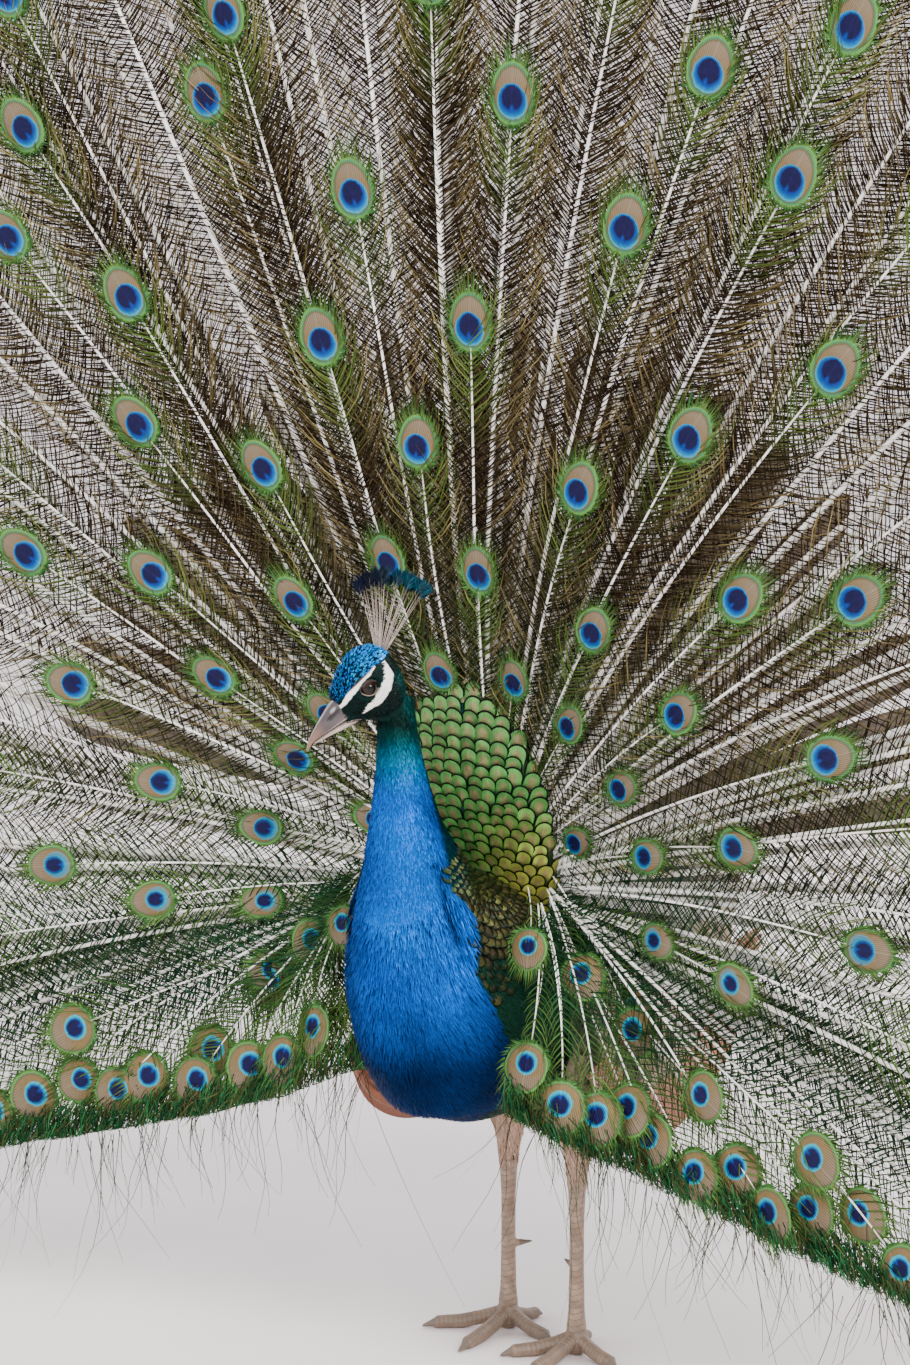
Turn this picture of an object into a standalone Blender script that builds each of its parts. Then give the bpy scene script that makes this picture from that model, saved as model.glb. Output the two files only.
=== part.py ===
"""A displaying male Indian peafowl, life size, as a still museum-style model.

The bird faces -Y and its left is +X.  It stands on z = 0 with the upper-tail
coverts (the train) raised in a fan.  Metres, +Z up.
"""

import math

import bmesh
import bpy
from mathutils import Matrix, Vector

# ---------------------------------------------------------------- driving sizes
GAP = 0.0004               # clear gap between neighbouring pieces
FACE_GAP = 0.0012          # the same between the train and the mounds on its two faces
RING = 20                  # points round a body section

# Body sections: (front y, front z, back y, back z, half width), tail end first.
TRUNK_RIBS = (
    (0.240, 0.372, 0.240, 0.404, 0.016),
    (0.212, 0.330, 0.219, 0.436, 0.050),
    (0.150, 0.275, 0.160, 0.456, 0.077),
    (0.065, 0.236, 0.075, 0.458, 0.089),
    (-0.025, 0.216, -0.015, 0.452, 0.093),
    (-0.105, 0.212, -0.085, 0.446, 0.093),
    (-0.175, 0.222, -0.130, 0.443, 0.090),
    (-0.235, 0.252, -0.158, 0.446, 0.080),
    (-0.272, 0.300, -0.176, 0.452, 0.066),
    (-0.284, 0.350, -0.188, 0.458, 0.054),
    (-0.285, 0.395, -0.197, 0.466, 0.048),
    (-0.281, 0.430, -0.205, 0.476, 0.042),
)
SHOULDER = 0.22                     # how far the widest point sits towards the back
NECK_RIBS = (
    (-0.281, 0.430, -0.205, 0.476, 0.042),
    (-0.277, 0.462, -0.213, 0.490, 0.0345),
    (-0.274, 0.492, -0.221, 0.508, 0.0275),
    (-0.271, 0.520, -0.2275, 0.528, 0.0225),
    (-0.268, 0.548, -0.2325, 0.549, 0.0185),
    (-0.2675, 0.572, -0.237, 0.570, 0.0165),
    (-0.269, 0.600, -0.241, 0.596, 0.0155),
)

# The head, in its own axes: bill towards -Y, origin between the eyes.
HEAD_AT = Vector((-0.012, -0.275, 0.606))
HEAD_TURN = math.radians(-37.6)     # towards the bird's right
HEAD_NOD = math.radians(28.0)       # bill down
# (y, bottom z, top z, half width)
HEAD_RIBS = (
    (0.0245, -0.006, 0.014, 0.007),
    (0.021, -0.018, 0.0245, 0.0130),
    (0.013, -0.026, 0.0320, 0.0172),
    (0.002, -0.026, 0.0345, 0.0193),
    (-0.008, -0.023, 0.0328, 0.0190),
    (-0.018, -0.0195, 0.0270, 0.0165),
    (-0.027, -0.0172, 0.0195, 0.0130),
    (-0.034, -0.0155, 0.0125, 0.0098),
)
BILL_UPPER_RIBS = (
    (-0.024, -0.0100, 0.0105, 0.0100),
    (-0.036, -0.0103, 0.0078, 0.0086),
    (-0.046, -0.0108, 0.0028, 0.0068),
    (-0.056, -0.0112, -0.0030, 0.0048),
    (-0.064, -0.0125, -0.0082, 0.0030),
    (-0.0705, -0.0165, -0.0146, 0.0011),
)
BILL_LOWER_RIBS = (
    (-0.020, -0.0168, -0.0106, 0.0080),
    (-0.036, -0.0160, -0.0109, 0.0068),
    (-0.050, -0.0148, -0.0114, 0.0046),
    (-0.0625, -0.0142, -0.0130, 0.0018),
)
EYE_AT = (0.0132, -0.006, 0.006)
EYE_RADIUS = 0.0075

CREST_BASE = (0.010, 0.022)         # where its shafts meet below the crown: y and z on the head
CREST_HEIGHT = 0.070
CREST_SPREAD = math.radians(30)     # each side of its middle line
CREST_TILT = math.radians(34)       # middle line leans back from the head's up
CREST_THICK = 0.0010

# The raised train: a shallow dish round ROOT_Z, seen as (rho, phi) from there.
ROOT_Z = 0.42
TRAIN_REACH = 1.24
TRAIN_THICK = 0.0007
TRAIN_SECTORS = 9                   # equal sectors of the main fan
MAIN_HALF_ANGLE = math.radians(100)
LOW_ANGLES = (100, 124, 150)        # degrees: the two short sectors each side
TIPS_PER_SECTOR = 5
TIP_NOTCH = 0.035
TRAIN_INNER = 0.030

SHIELD_MID_Z = 0.452                # raised back feathers in front of the train
SHIELD_HALF = (0.079, 0.152)        # half width, half height
SHIELD_BULGE = 0.040
RUMP_MID_Z = 0.450
RUMP_HALF = (0.082, 0.085)
RUMP_BULGE = 0.105
MOUND_LIP = 0.0012                  # thickness of both at their rim

UNDERTAIL_AT = (0.0, 0.180, 0.385)
UNDERTAIL_HALF = (0.074, 0.100, 0.082)
UNDERTAIL_TILT = math.radians(-20)

TAIL_ROOT_Z = 0.44
TAIL_REACH = 0.46
TAIL_HALF_ANGLE = math.radians(82)
TAIL_FEATHERS = 20
TAIL_PARTS = ("tail_right_outer", "tail_right_inner", "tail_left_inner", "tail_left_outer")
TAIL_ROOT_Y = 0.020
TAIL_LEAN = 0.30                    # forward for each metre out
TAIL_INNER = 0.045
TAIL_NOTCH = 0.05
TAIL_THICK = 0.0012

HOCK_Z = 0.154
ANKLE_Z = 0.024
LEGS = {                            # side: (sign of x, leg y, toes as (degrees outward, length))
    "left": (1, -0.034, ((66, 0.058), (-4, 0.078), (-50, 0.067))),
    "right": (-1, -0.002, ((58, 0.076), (1, 0.084), (-70, 0.060))),
}
LEG_X = 0.043
ANKLE_RADIUS = 0.0084
# Up the bare shank: (z, radius).
SHANK_RIBS = (
    (ANKLE_Z + GAP, ANKLE_RADIUS),
    (ANKLE_Z + 0.014, 0.0068),
    (0.075, 0.0060),
    (0.120, 0.0060),
    (HOCK_Z - 0.010, 0.0074),
    (HOCK_Z, 0.0086),
)
# Up the feathered thigh: (above the hock, forward of it, radius).
THIGH_RIBS = (
    (0.0015 + GAP, 0.0, 0.0088),
    (0.012, 0.0, 0.0098),
    (0.030, 0.0, 0.0135),
    (0.060, 0.004, 0.0230),
    (0.095, 0.008, 0.0300),
)
SPUR_Z = 0.076
SPUR_LENGTH = 0.017
SPUR_WAY = (0.85, 0.5, 0.12)        # inward, back and up
SPUR_START = 0.004                  # its root, inside the shank, from the shank's middle
SPUR_RADII = (0.0041, 0.0007)       # root and tip

# Along a toe: (share of its length, height, radius).
TOE_RIBS = (
    (0.00, 0.0155, 0.0062),
    (0.30, 0.0092, 0.0061),
    (0.55, 0.0056, 0.0062),
    (0.82, 0.0048, 0.0056),
    (0.88, 0.0040, 0.0033),
    (1.00, 0.0016, 0.0010),
)
HIND_TOE_LENGTH = 0.044
HIND_TOE_WAY = (0.25, 1.0)          # inward and back
HIND_TOE_SIZE = 0.86                # of a front toe's thickness
FOOT_PAD = (0.0105, 0.0115)         # middle height and radius

# Folded wing sections: (y, middle z, x, half thickness, half height).
WING_RIBS = (
    (-0.132, 0.300, 0.090, 0.004, 0.016),
    (-0.120, 0.300, 0.095, 0.012, 0.046),
    (-0.060, 0.304, 0.101, 0.018, 0.064),
    (0.020, 0.314, 0.102, 0.018, 0.064),
    (0.100, 0.328, 0.092, 0.015, 0.052),
    (0.170, 0.345, 0.076, 0.009, 0.034),
)
# Flight feathers below the wing: (y, upper z, lower z, x).
PRIMARY_RIBS = (
    (-0.150, 0.276, 0.262, 0.112),
    (-0.120, 0.278, 0.220, 0.110),
    (-0.070, 0.280, 0.195, 0.107),
    (-0.010, 0.288, 0.189, 0.102),
    (0.060, 0.298, 0.197, 0.097),
    (0.130, 0.312, 0.214, 0.090),
    (0.200, 0.322, 0.246, 0.082),
    (0.260, 0.324, 0.284, 0.074),
)
PRIMARY_THICK = 0.0022
PRIMARY_BOW = 0.006                 # outward, half way down

COLLECTION = "peafowl"


# ------------------------------------------------------------------- small tools
def clear_scene():
    for obj in list(bpy.data.objects):
        bpy.data.objects.remove(obj, do_unlink=True)


def make_collections():
    for name in (COLLECTION, "cutters"):
        bpy.context.scene.collection.children.link(bpy.data.collections.new(name))


def material(name, color, roughness, metallic=0.0):
    found = bpy.data.materials.get(name)
    if found:
        return found
    found = bpy.data.materials.new(name)
    found.use_nodes = True
    shader = found.node_tree.nodes["Principled BSDF"]
    shader.inputs["Base Color"].default_value = (*color, 1.0)
    shader.inputs["Roughness"].default_value = roughness
    shader.inputs["Metallic"].default_value = metallic
    return found


def finish(name, bm, mat, smooth=True):
    """Turns a bmesh into a named object of the part, with its faces out."""
    bmesh.ops.recalc_face_normals(bm, faces=bm.faces)
    mesh = bpy.data.meshes.new(name)
    bm.to_mesh(mesh)
    bm.free()
    mesh.materials.append(mat)
    if smooth:
        mesh.shade_smooth()
        mesh.set_sharp_from_angle(angle=math.radians(40))
    obj = bpy.data.objects.new(name, mesh)
    bpy.data.collections[COLLECTION].objects.link(obj)
    return obj


def spline(rows, per):
    """Catmull-Rom points through rows of numbers, with per steps a stretch."""
    rows = [tuple(row) for row in rows]
    padded = [rows[0]] + rows + [rows[-1]]
    found = []
    for a, b, c, d in zip(padded, padded[1:], padded[2:], padded[3:]):
        for step in range(per):
            t = step / per
            found.append(tuple(
                0.5 * (2 * q + (r - p) * t + (2 * p - 5 * q + 4 * r - s) * t * t
                       + (3 * q - p - 3 * r + s) * t ** 3)
                for p, q, r, s in zip(a, b, c, d)))
    found.append(rows[-1])
    return found


def loft(rings):
    """A closed skin over rings of equal length, with a cap at each end."""
    bm = bmesh.new()
    rows = [[bm.verts.new(point) for point in ring] for ring in rings]
    count = len(rows[0])
    for low, high in zip(rows, rows[1:]):
        for i in range(count):
            j = (i + 1) % count
            bm.faces.new((low[i], low[j], high[j], high[i]))
    bm.faces.new(rows[0])
    bm.faces.new(list(reversed(rows[-1])))
    bmesh.ops.triangulate(bm, faces=bm.faces)
    return bm


def skin_rows(bm, rows):
    """An open sheet of faces over a grid of points."""
    for low, high in zip(rows, rows[1:]):
        for j in range(len(low) - 1):
            bm.faces.new((low[j], low[j + 1], high[j + 1], high[j]))


def rib_ring(front, back, half_width, count=RING, x=0.0, egg=0.0):
    """An oval through front and back, both (y, z), in their own slanted plane.

    egg moves the widest point from the middle towards the back.
    """
    mid = Vector((x, (front[0] + back[0]) / 2, (front[1] + back[1]) / 2))
    up = Vector((0.0, back[0] - front[0], back[1] - front[1])) / 2
    side = Vector((half_width, 0.0, 0.0))
    angles = (2 * math.pi * i / count for i in range(count))
    return [mid + side * math.sin(a) * (1 + egg * math.cos(a)) + up * math.cos(a) for a in angles]


def flat_rib_ring(y, bottom, top, half_width, count=RING):
    return rib_ring((y, bottom), (y, top), half_width, count)


def tube_ring(mid, along, radius, count):
    """A circle round mid, square to the direction along."""
    across = along.orthogonal().normalized()
    third = along.normalized().cross(across)
    angles = (2 * math.pi * i / count for i in range(count))
    return [mid + (across * math.cos(a) + third * math.sin(a)) * radius for a in angles]


def tube(rows, count=10):
    """A round bar through rows of (point, radius)."""
    points = [Vector(row[0]) for row in rows]
    rings = []
    for i, (_, radius) in enumerate(rows):
        along = points[min(i + 1, len(points) - 1)] - points[max(i - 1, 0)]
        rings.append(tube_ring(points[i], along, radius, count))
    return loft(rings)


def evaluated(obj):
    bpy.context.view_layer.update()
    graph = bpy.context.evaluated_depsgraph_get()
    return bpy.data.meshes.new_from_object(obj.evaluated_get(graph))


def grown(obj, gap=GAP):
    """A hidden copy of a piece, larger by the gap, to cut its neighbours with."""
    name = "cut_" + obj.name
    if name in bpy.data.objects:
        return bpy.data.objects[name]
    mesh = evaluated(obj)
    mesh.transform(obj.matrix_world)
    bm = bmesh.new()
    bm.from_mesh(mesh)
    bmesh.ops.remove_doubles(bm, verts=bm.verts, dist=1e-6)
    bm.normal_update()
    for vert in bm.verts:
        vert.co += vert.normal * gap * vert.calc_shell_factor()
    bm.to_mesh(mesh)
    bm.free()
    copy = bpy.data.objects.new(name, mesh)
    copy.hide_render = True
    copy.display_type = "WIRE"
    bpy.data.collections["cutters"].objects.link(copy)
    return copy


def cut(obj, *others):
    """Cuts a piece back from its neighbours, leaving the gap."""
    for other in others:
        modifier = obj.modifiers.new("clear_" + other.name, "BOOLEAN")
        modifier.operation = "DIFFERENCE"
        modifier.solver = "EXACT"
        modifier.object = grown(other)


def smooth_step(low, high, value):
    t = min(max((value - low) / (high - low), 0.0), 1.0)
    return t * t * (3 - 2 * t)


# ------------------------------------------------------------------ trunk and neck
def trunk():
    rings = [rib_ring(row[0:2], row[2:4], row[4], egg=SHOULDER) for row in TRUNK_RIBS]
    return finish("trunk", loft(rings), material("breast_blue", (0.004, 0.13, 0.55), 0.45))


def neck():
    rows = [list(row) for row in NECK_RIBS]
    rows[0][1] += 1.5 * GAP
    rows[0][3] += 1.5 * GAP
    rings = []
    for row in rows:
        lean = 0.3 * HEAD_AT.x * smooth_step(0.48, 0.60, row[1])
        egg = SHOULDER * (1 - smooth_step(0.43, 0.50, row[1]))
        rings.append(rib_ring(row[0:2], row[2:4], row[4], x=lean, egg=egg))
    return finish("neck", loft(rings), material("neck_blue", (0.004, 0.16, 0.50), 0.45))


# --------------------------------------------------------------------------- head
def head_matrix():
    turn = Matrix.Rotation(HEAD_TURN, 4, "Z") @ Matrix.Rotation(HEAD_NOD, 4, "X")
    return Matrix.Translation(HEAD_AT) @ turn


def on_head(obj):
    obj.matrix_world = head_matrix()
    return obj


def head():
    rings = [flat_rib_ring(*row, count=16) for row in spline(HEAD_RIBS, 2)]
    return on_head(finish("head", loft(rings), material("head_blue", (0.005, 0.20, 0.62), 0.4)))


def bill(name, ribs):
    rings = [flat_rib_ring(*row, count=10) for row in ribs]
    mat = material("bill_horn", (0.42, 0.36, 0.33), 0.35)
    return on_head(finish(name, loft(rings), mat))


def eye(side, sign):
    bm = bmesh.new()
    bmesh.ops.create_uvsphere(bm, u_segments=12, v_segments=6, radius=EYE_RADIUS)
    spot = Matrix.Translation((sign * EYE_AT[0], EYE_AT[1], EYE_AT[2]))
    bmesh.ops.transform(bm, matrix=spot @ Matrix.Rotation(math.pi / 2, 4, "Y"), verts=bm.verts)
    return on_head(finish("eye_" + side, bm, material("iris_brown", (0.03, 0.015, 0.01), 0.05)))


def crest():
    """An upright fan in the head's middle plane, with a ragged top edge."""
    steps = 22
    bm = bmesh.new()
    rows = []
    for i in range(steps + 1):
        angle = CREST_TILT + CREST_SPREAD * (2 * i / steps - 1)
        height = CREST_HEIGHT * (1.0 - 0.05 * (i % 2)) * (1 - 0.10 * (2 * i / steps - 1) ** 2)
        way = Vector((0, math.sin(angle), math.cos(angle)))
        base = Vector((0, *CREST_BASE))
        rows.append([bm.verts.new(base + way * r) for r in (0.006, 0.7 * height, height)])
    skin_rows(bm, rows)
    obj = finish("crest", bm, material("crest_teal", (0.01, 0.10, 0.16), 0.5), smooth=False)
    thicken(obj, CREST_THICK)
    return on_head(obj)


def thicken(obj, thickness):
    modifier = obj.modifiers.new("thickness", "SOLIDIFY")
    modifier.thickness = thickness
    modifier.offset = 0.0
    modifier.use_even_offset = True


# -------------------------------------------------------------------------- train
def fan_y(rho, phi):
    """How far forward the raised train lies, rho out from its root at phi from upright."""
    droop = smooth_step(math.radians(105), math.radians(145), abs(phi))
    return -0.11 - 0.22 * rho + 0.06 * rho * rho - 0.05 * droop


def fan_point(rho, phi):
    return Vector((rho * math.sin(phi), fan_y(rho, phi), ROOT_Z + rho * math.cos(phi)))


def low_edge(x):
    """Height of the train's lower edge at a distance from the body's middle."""
    return 0.05 + 0.255 * math.exp(-abs(x) / 0.52)


def fan_reach(phi):
    """The train's length in the direction phi: full above, short along the lower edge."""
    reach = TRAIN_REACH
    for _ in range(40):
        if ROOT_Z + reach * math.cos(phi) >= low_edge(reach * math.sin(phi)):
            break
        reach *= 0.96
    if reach == TRAIN_REACH:
        return reach
    low, high = reach, reach / 0.96
    for _ in range(20):
        middle = (low + high) / 2
        inside = ROOT_Z + middle * math.cos(phi) >= low_edge(middle * math.sin(phi))
        low, high = (middle, high) if inside else (low, middle)
    return low


def fan_sector(name, mat, thickness, ends, tips, notch, inner, shares, place, reach):
    """A thin curved sector of a fan, its rim notched between the feather tips."""
    across = 2 * tips
    bm = bmesh.new()
    rows = []
    for i in range(across + 1):
        phi = ends[0] + (ends[1] - ends[0]) * i / across
        far = reach(phi) * (1.0 if i % 2 else 1 - notch)
        row = []
        for share in shares:
            rho = inner + (far - inner) * share
            edge = GAP / rho if i == 0 else (-GAP / rho if i == across else 0.0)
            row.append(bm.verts.new(place(rho, phi + edge)))
        rows.append(row)
    skin_rows(bm, rows)
    obj = finish(name, bm, mat)
    thicken(obj, thickness)
    return obj


def train_sector(name, ends):
    mat = material("train_green", (0.10, 0.12, 0.03), 0.6)
    shares = (0.0, 0.12, 0.34, 0.66, 1.0)
    return fan_sector(name, mat, TRAIN_THICK, ends, TIPS_PER_SECTOR, TIP_NOTCH, TRAIN_INNER,
                      shares, fan_point, fan_reach)


def train():
    found = []
    width = 2 * MAIN_HALF_ANGLE / TRAIN_SECTORS
    half = TRAIN_SECTORS // 2
    found.append(train_sector("train_middle", (-width / 2, width / 2)))
    for side, sign in (("left", 1), ("right", -1)):
        for i in range(half):
            start = width / 2 + i * width
            ends = sorted((sign * start, sign * (start + width)))
            found.append(train_sector(f"train_{side}_{i + 1}", ends))
        for i, (low, high) in enumerate(zip(LOW_ANGLES, LOW_ANGLES[1:])):
            ends = sorted((sign * math.radians(low), sign * math.radians(high)))
            found.append(train_sector(f"train_{side}_{half + 1 + i}", ends))
    return found


def mound(name, mat, mid_z, half, bulge, offset):
    """A dome on the train's face: offset and bulge are signed along Y."""
    around, steps = 20, 5
    lip = math.copysign(MOUND_LIP, offset)
    bm = bmesh.new()
    flat, domed = [], []
    for k in range(1, steps + 1):
        share = math.sin(0.5 * math.pi * k / steps)
        rim = max(1 - share ** 2, 0.0) ** 0.5
        flat_ring, domed_ring = [], []
        for i in range(around):
            angle = 2 * math.pi * i / around
            x = half[0] * share * math.sin(angle)
            z = mid_z + half[1] * share * math.cos(angle)
            rho, phi = math.hypot(x, z - ROOT_Z), math.atan2(x, z - ROOT_Z)
            base = fan_y(rho, phi) + offset
            top = base + lip + bulge * rim
            flat_ring.append(bm.verts.new((x, base, z)))
            domed_ring.append(bm.verts.new((x, top, z)))
        flat.append(flat_ring)
        domed.append(domed_ring)
    centre_y = fan_y(abs(mid_z - ROOT_Z), 0.0) + offset
    flat_mid = bm.verts.new((0, centre_y, mid_z))
    domed_mid = bm.verts.new((0, centre_y + lip + bulge, mid_z))
    for i in range(around):
        j = (i + 1) % around
        for rings, mid in ((flat, flat_mid), (domed, domed_mid)):
            bm.faces.new((rings[0][i], rings[0][j], mid))
            for low, high in zip(rings, rings[1:]):
                bm.faces.new((low[i], low[j], high[j], high[i]))
        bm.faces.new((flat[-1][i], flat[-1][j], domed[-1][j], domed[-1][i]))
    return finish(name, bm, mat)


def back():
    """The raised shield of scale feathers, in front of the train's root."""
    mat = material("shield_green", (0.12, 0.26, 0.06), 0.4, 0.3)
    return mound("back", mat, SHIELD_MID_Z, SHIELD_HALF, -SHIELD_BULGE, -TRAIN_THICK / 2 - FACE_GAP)


def rump():
    """The muscular root that carries the train, behind it."""
    mat = material("rump_brown", (0.09, 0.07, 0.05), 0.8)
    return mound("rump", mat, RUMP_MID_Z, RUMP_HALF, RUMP_BULGE, TRAIN_THICK / 2 + FACE_GAP)


def undertail():
    """The soft feathers below and behind the root of the tail."""
    bm = bmesh.new()
    bmesh.ops.create_uvsphere(bm, u_segments=16, v_segments=9, radius=1.0)
    size = Matrix.Diagonal(UNDERTAIL_HALF + (1.0,))
    tilt = Matrix.Rotation(UNDERTAIL_TILT, 4, "X")
    bmesh.ops.transform(bm, matrix=Matrix.Translation(UNDERTAIL_AT) @ tilt @ size, verts=bm.verts)
    return finish("undertail", bm, material("down_grey", (0.12, 0.10, 0.08), 0.9))


def tail_point(rho, phi):
    y = TAIL_ROOT_Y - TAIL_LEAN * rho
    return Vector((rho * math.sin(phi), y, TAIL_ROOT_Z + rho * math.cos(phi)))


def tail():
    """The true tail: a fan of stiff brown feathers that props the train from behind."""
    mat = material("tail_brown", (0.16, 0.12, 0.09), 0.7)
    width = 2 * TAIL_HALF_ANGLE / len(TAIL_PARTS)
    found = []
    for i, name in enumerate(TAIL_PARTS):
        start = -TAIL_HALF_ANGLE + i * width
        found.append(fan_sector(name, mat, TAIL_THICK, (start, start + width),
                                TAIL_FEATHERS // len(TAIL_PARTS), TAIL_NOTCH, TAIL_INNER,
                                (0.0, 0.35, 0.70, 1.0), tail_point, lambda phi: TAIL_REACH))
    return found


# -------------------------------------------------------------------------- wings
def wing(side, sign):
    turns = [2 * math.pi * i / 14 for i in range(14)]
    rings = []
    for y, z, x, thick, high in WING_RIBS:
        rings.append([Vector((sign * (x + thick * math.sin(a)), y, z + high * math.cos(a)))
                      for a in turns])
    return finish("wing_" + side, loft(rings), material("wing_bronze", (0.05, 0.06, 0.03), 0.5))


def primaries(side, sign):
    """The folded flight feathers that show below the wing, one thin curved blade."""
    bm = bmesh.new()
    rows = []
    for y, high, low, x in PRIMARY_RIBS:
        row = []
        for share in (0.0, 0.35, 0.7, 1.0):
            bow = PRIMARY_BOW * math.sin(math.pi * share)
            row.append(bm.verts.new((sign * (x + bow), y, high + (low - high) * share)))
        rows.append(row)
    skin_rows(bm, rows)
    obj = finish("primaries_" + side, bm, material("primary_rufous", (0.30, 0.08, 0.03), 0.6))
    thicken(obj, PRIMARY_THICK)
    return obj


# --------------------------------------------------------------------------- legs
def thigh(side, sign, y):
    x = sign * LEG_X
    rows = [((x, y - forward, HOCK_Z + rise), radius) for rise, forward, radius in THIGH_RIBS]
    bm = tube(rows, 14)
    return finish("thigh_" + side, bm, material("thigh_buff", (0.50, 0.38, 0.27), 0.8))


def shank(side, sign, y):
    x = sign * LEG_X
    bm = tube([((x, y, z), radius) for z, radius in SHANK_RIBS], 12)
    return finish("shank_" + side, bm, material("leg_horn", (0.36, 0.28, 0.20), 0.6))


def spur(side, sign, y):
    way = Vector((-sign * SPUR_WAY[0], *SPUR_WAY[1:])).normalized()
    start = Vector((sign * LEG_X, y, SPUR_Z)) + way * SPUR_START
    root, tip = SPUR_RADII
    rows = [(start + way * SPUR_LENGTH * t, root + (tip - root) * t) for t in (0, 0.3, 0.65, 1.0)]
    return finish("spur_" + side, tube(rows, 8), material("spur_horn", (0.22, 0.17, 0.12), 0.5))


def toe(root, way, length, size=1.0):
    """A jointed toe with its pads and a short claw, from the ankle down to the floor."""
    rows = []
    for share, height, radius in TOE_RIBS:
        rows.append((root + way * length * share + Vector((0, 0, height)), radius * size))
    return tube(rows, 8)


def foot(side, sign, y, toes):
    """Toes and pad made one, with flats where they meet the floor."""
    root = Vector((sign * LEG_X, y, 0.0))
    bm = bmesh.new()
    bmesh.ops.create_uvsphere(bm, u_segments=12, v_segments=6, radius=FOOT_PAD[1])
    spot = Matrix.Translation(root + Vector((0, 0, FOOT_PAD[0])))
    bmesh.ops.transform(bm, matrix=spot, verts=bm.verts)
    obj = finish("foot_" + side, bm, material("foot_horn", (0.33, 0.26, 0.19), 0.6))
    pieces = []
    for degrees, length in toes:
        angle = math.radians(degrees)
        pieces.append(toe(root, Vector((sign * math.sin(angle), -math.cos(angle), 0)), length))
    hind_way = Vector((-sign * HIND_TOE_WAY[0], HIND_TOE_WAY[1], 0)).normalized()
    pieces.append(toe(root, hind_way, HIND_TOE_LENGTH, HIND_TOE_SIZE))
    ankle = [root + Vector((0, 0, z)) for z in (FOOT_PAD[0], ANKLE_Z + 0.008)]
    pieces.append(tube([(point, ANKLE_RADIUS) for point in ankle], 12))
    for i, piece in enumerate(pieces):
        tool = finish(f"toe_{side}_{i}", piece, obj.data.materials[0])
        hide_as_tool(tool)
        join = obj.modifiers.new(f"toe_{i}", "BOOLEAN")
        join.operation = "UNION"
        join.solver = "EXACT"
        join.object = tool
    return obj


def hide_as_tool(obj):
    bpy.data.collections[COLLECTION].objects.unlink(obj)
    bpy.data.collections["cutters"].objects.link(obj)
    obj.hide_render = True
    obj.display_type = "WIRE"


def slab(name, low, high):
    """A hidden block that trims what would reach past a level."""
    bm = bmesh.new()
    bmesh.ops.create_cube(bm, size=1.0)
    bmesh.ops.transform(bm, matrix=Matrix.Translation((0, 0, (low + high) / 2))
                        @ Matrix.Diagonal((1.0, 1.0, high - low, 1.0)), verts=bm.verts)
    obj = finish(name, bm, material("foot_horn", (0.33, 0.26, 0.19), 0.6), smooth=False)
    hide_as_tool(obj)
    return obj


def trim(obj, tool):
    modifier = obj.modifiers.new("trim_" + tool.name, "BOOLEAN")
    modifier.operation = "DIFFERENCE"
    modifier.solver = "EXACT"
    modifier.object = tool


def centre_over_floor():
    """Moves the whole bird so that the middle of its box stands over the origin."""
    bpy.context.view_layer.update()
    corners = []
    for obj in bpy.data.collections[COLLECTION].objects:
        mesh = evaluated(obj)
        corners += [obj.matrix_world @ vert.co for vert in mesh.vertices]
        bpy.data.meshes.remove(mesh)
    for axis in (0, 1):
        values = [corner[axis] for corner in corners]
        middle = (min(values) + max(values)) / 2
        for obj in bpy.data.objects:
            obj.location[axis] -= middle


def build():
    clear_scene()
    make_collections()
    body, throat = trunk(), neck()
    skull = head()
    eyes = [eye("left", 1), eye("right", -1)]
    upper, lower = bill("bill_upper", BILL_UPPER_RIBS), bill("bill_lower", BILL_LOWER_RIBS)
    tuft = crest()
    cut(skull, *eyes)
    cut(throat, skull)
    cut(upper, skull)
    cut(lower, skull)
    cut(tuft, skull)

    shield, root, soft, rectrices = back(), rump(), undertail(), tail()
    cut(shield, body)
    cut(root, body)
    cut(soft, body, root)
    for sector in rectrices:
        cut(sector, body, root, soft)

    floor = slab("floor_level", -0.05, 0.0)
    lid = slab("ankle_level", ANKLE_Z, ANKLE_Z + 0.05)
    wings = []
    for side, sign in (("left", 1), ("right", -1)):
        folded = wing(side, sign)
        cut(folded, body, soft)
        blade = primaries(side, sign)
        cut(blade, folded, body, soft)
        wings += [folded, blade]
        _, y, toes = LEGS[side]
        cut(thigh(side, sign, y), body)
        leg = shank(side, sign, y)
        cut(spur(side, sign, y), leg)
        base = foot(side, sign, y, toes)
        trim(base, floor)
        trim(base, lid)
    for sector in train():
        cut(sector, body, *wings)
    centre_over_floor()


build()
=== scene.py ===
"""Looks of the displaying peafowl: skin, plumage, horn, eyes and the studio.

Sizes are in metres.  Pieces are worked out in the bird's own frame, which faces -Y with
its left towards +X and the floor at z = 0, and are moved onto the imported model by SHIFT.
"""

import math

import bmesh
import bpy
import numpy as np
from mathutils import Matrix, Vector


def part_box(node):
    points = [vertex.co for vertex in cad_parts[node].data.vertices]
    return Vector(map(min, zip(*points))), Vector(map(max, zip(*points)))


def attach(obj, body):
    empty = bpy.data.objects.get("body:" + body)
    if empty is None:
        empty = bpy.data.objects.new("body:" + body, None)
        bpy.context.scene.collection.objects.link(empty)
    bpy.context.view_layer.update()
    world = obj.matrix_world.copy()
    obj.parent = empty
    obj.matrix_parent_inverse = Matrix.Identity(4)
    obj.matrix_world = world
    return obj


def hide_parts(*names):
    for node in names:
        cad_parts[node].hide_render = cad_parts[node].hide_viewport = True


bl_info = {
    "name": "Displaying peafowl",
    "version": (1, 0, 0),
    "blender": (4, 5, 0),
    "location": "View3D > Sidebar > Peafowl",
    "description": "Plumage, skin and horn of a life-size displaying peafowl",
    "category": "Add Mesh",
}

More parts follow.
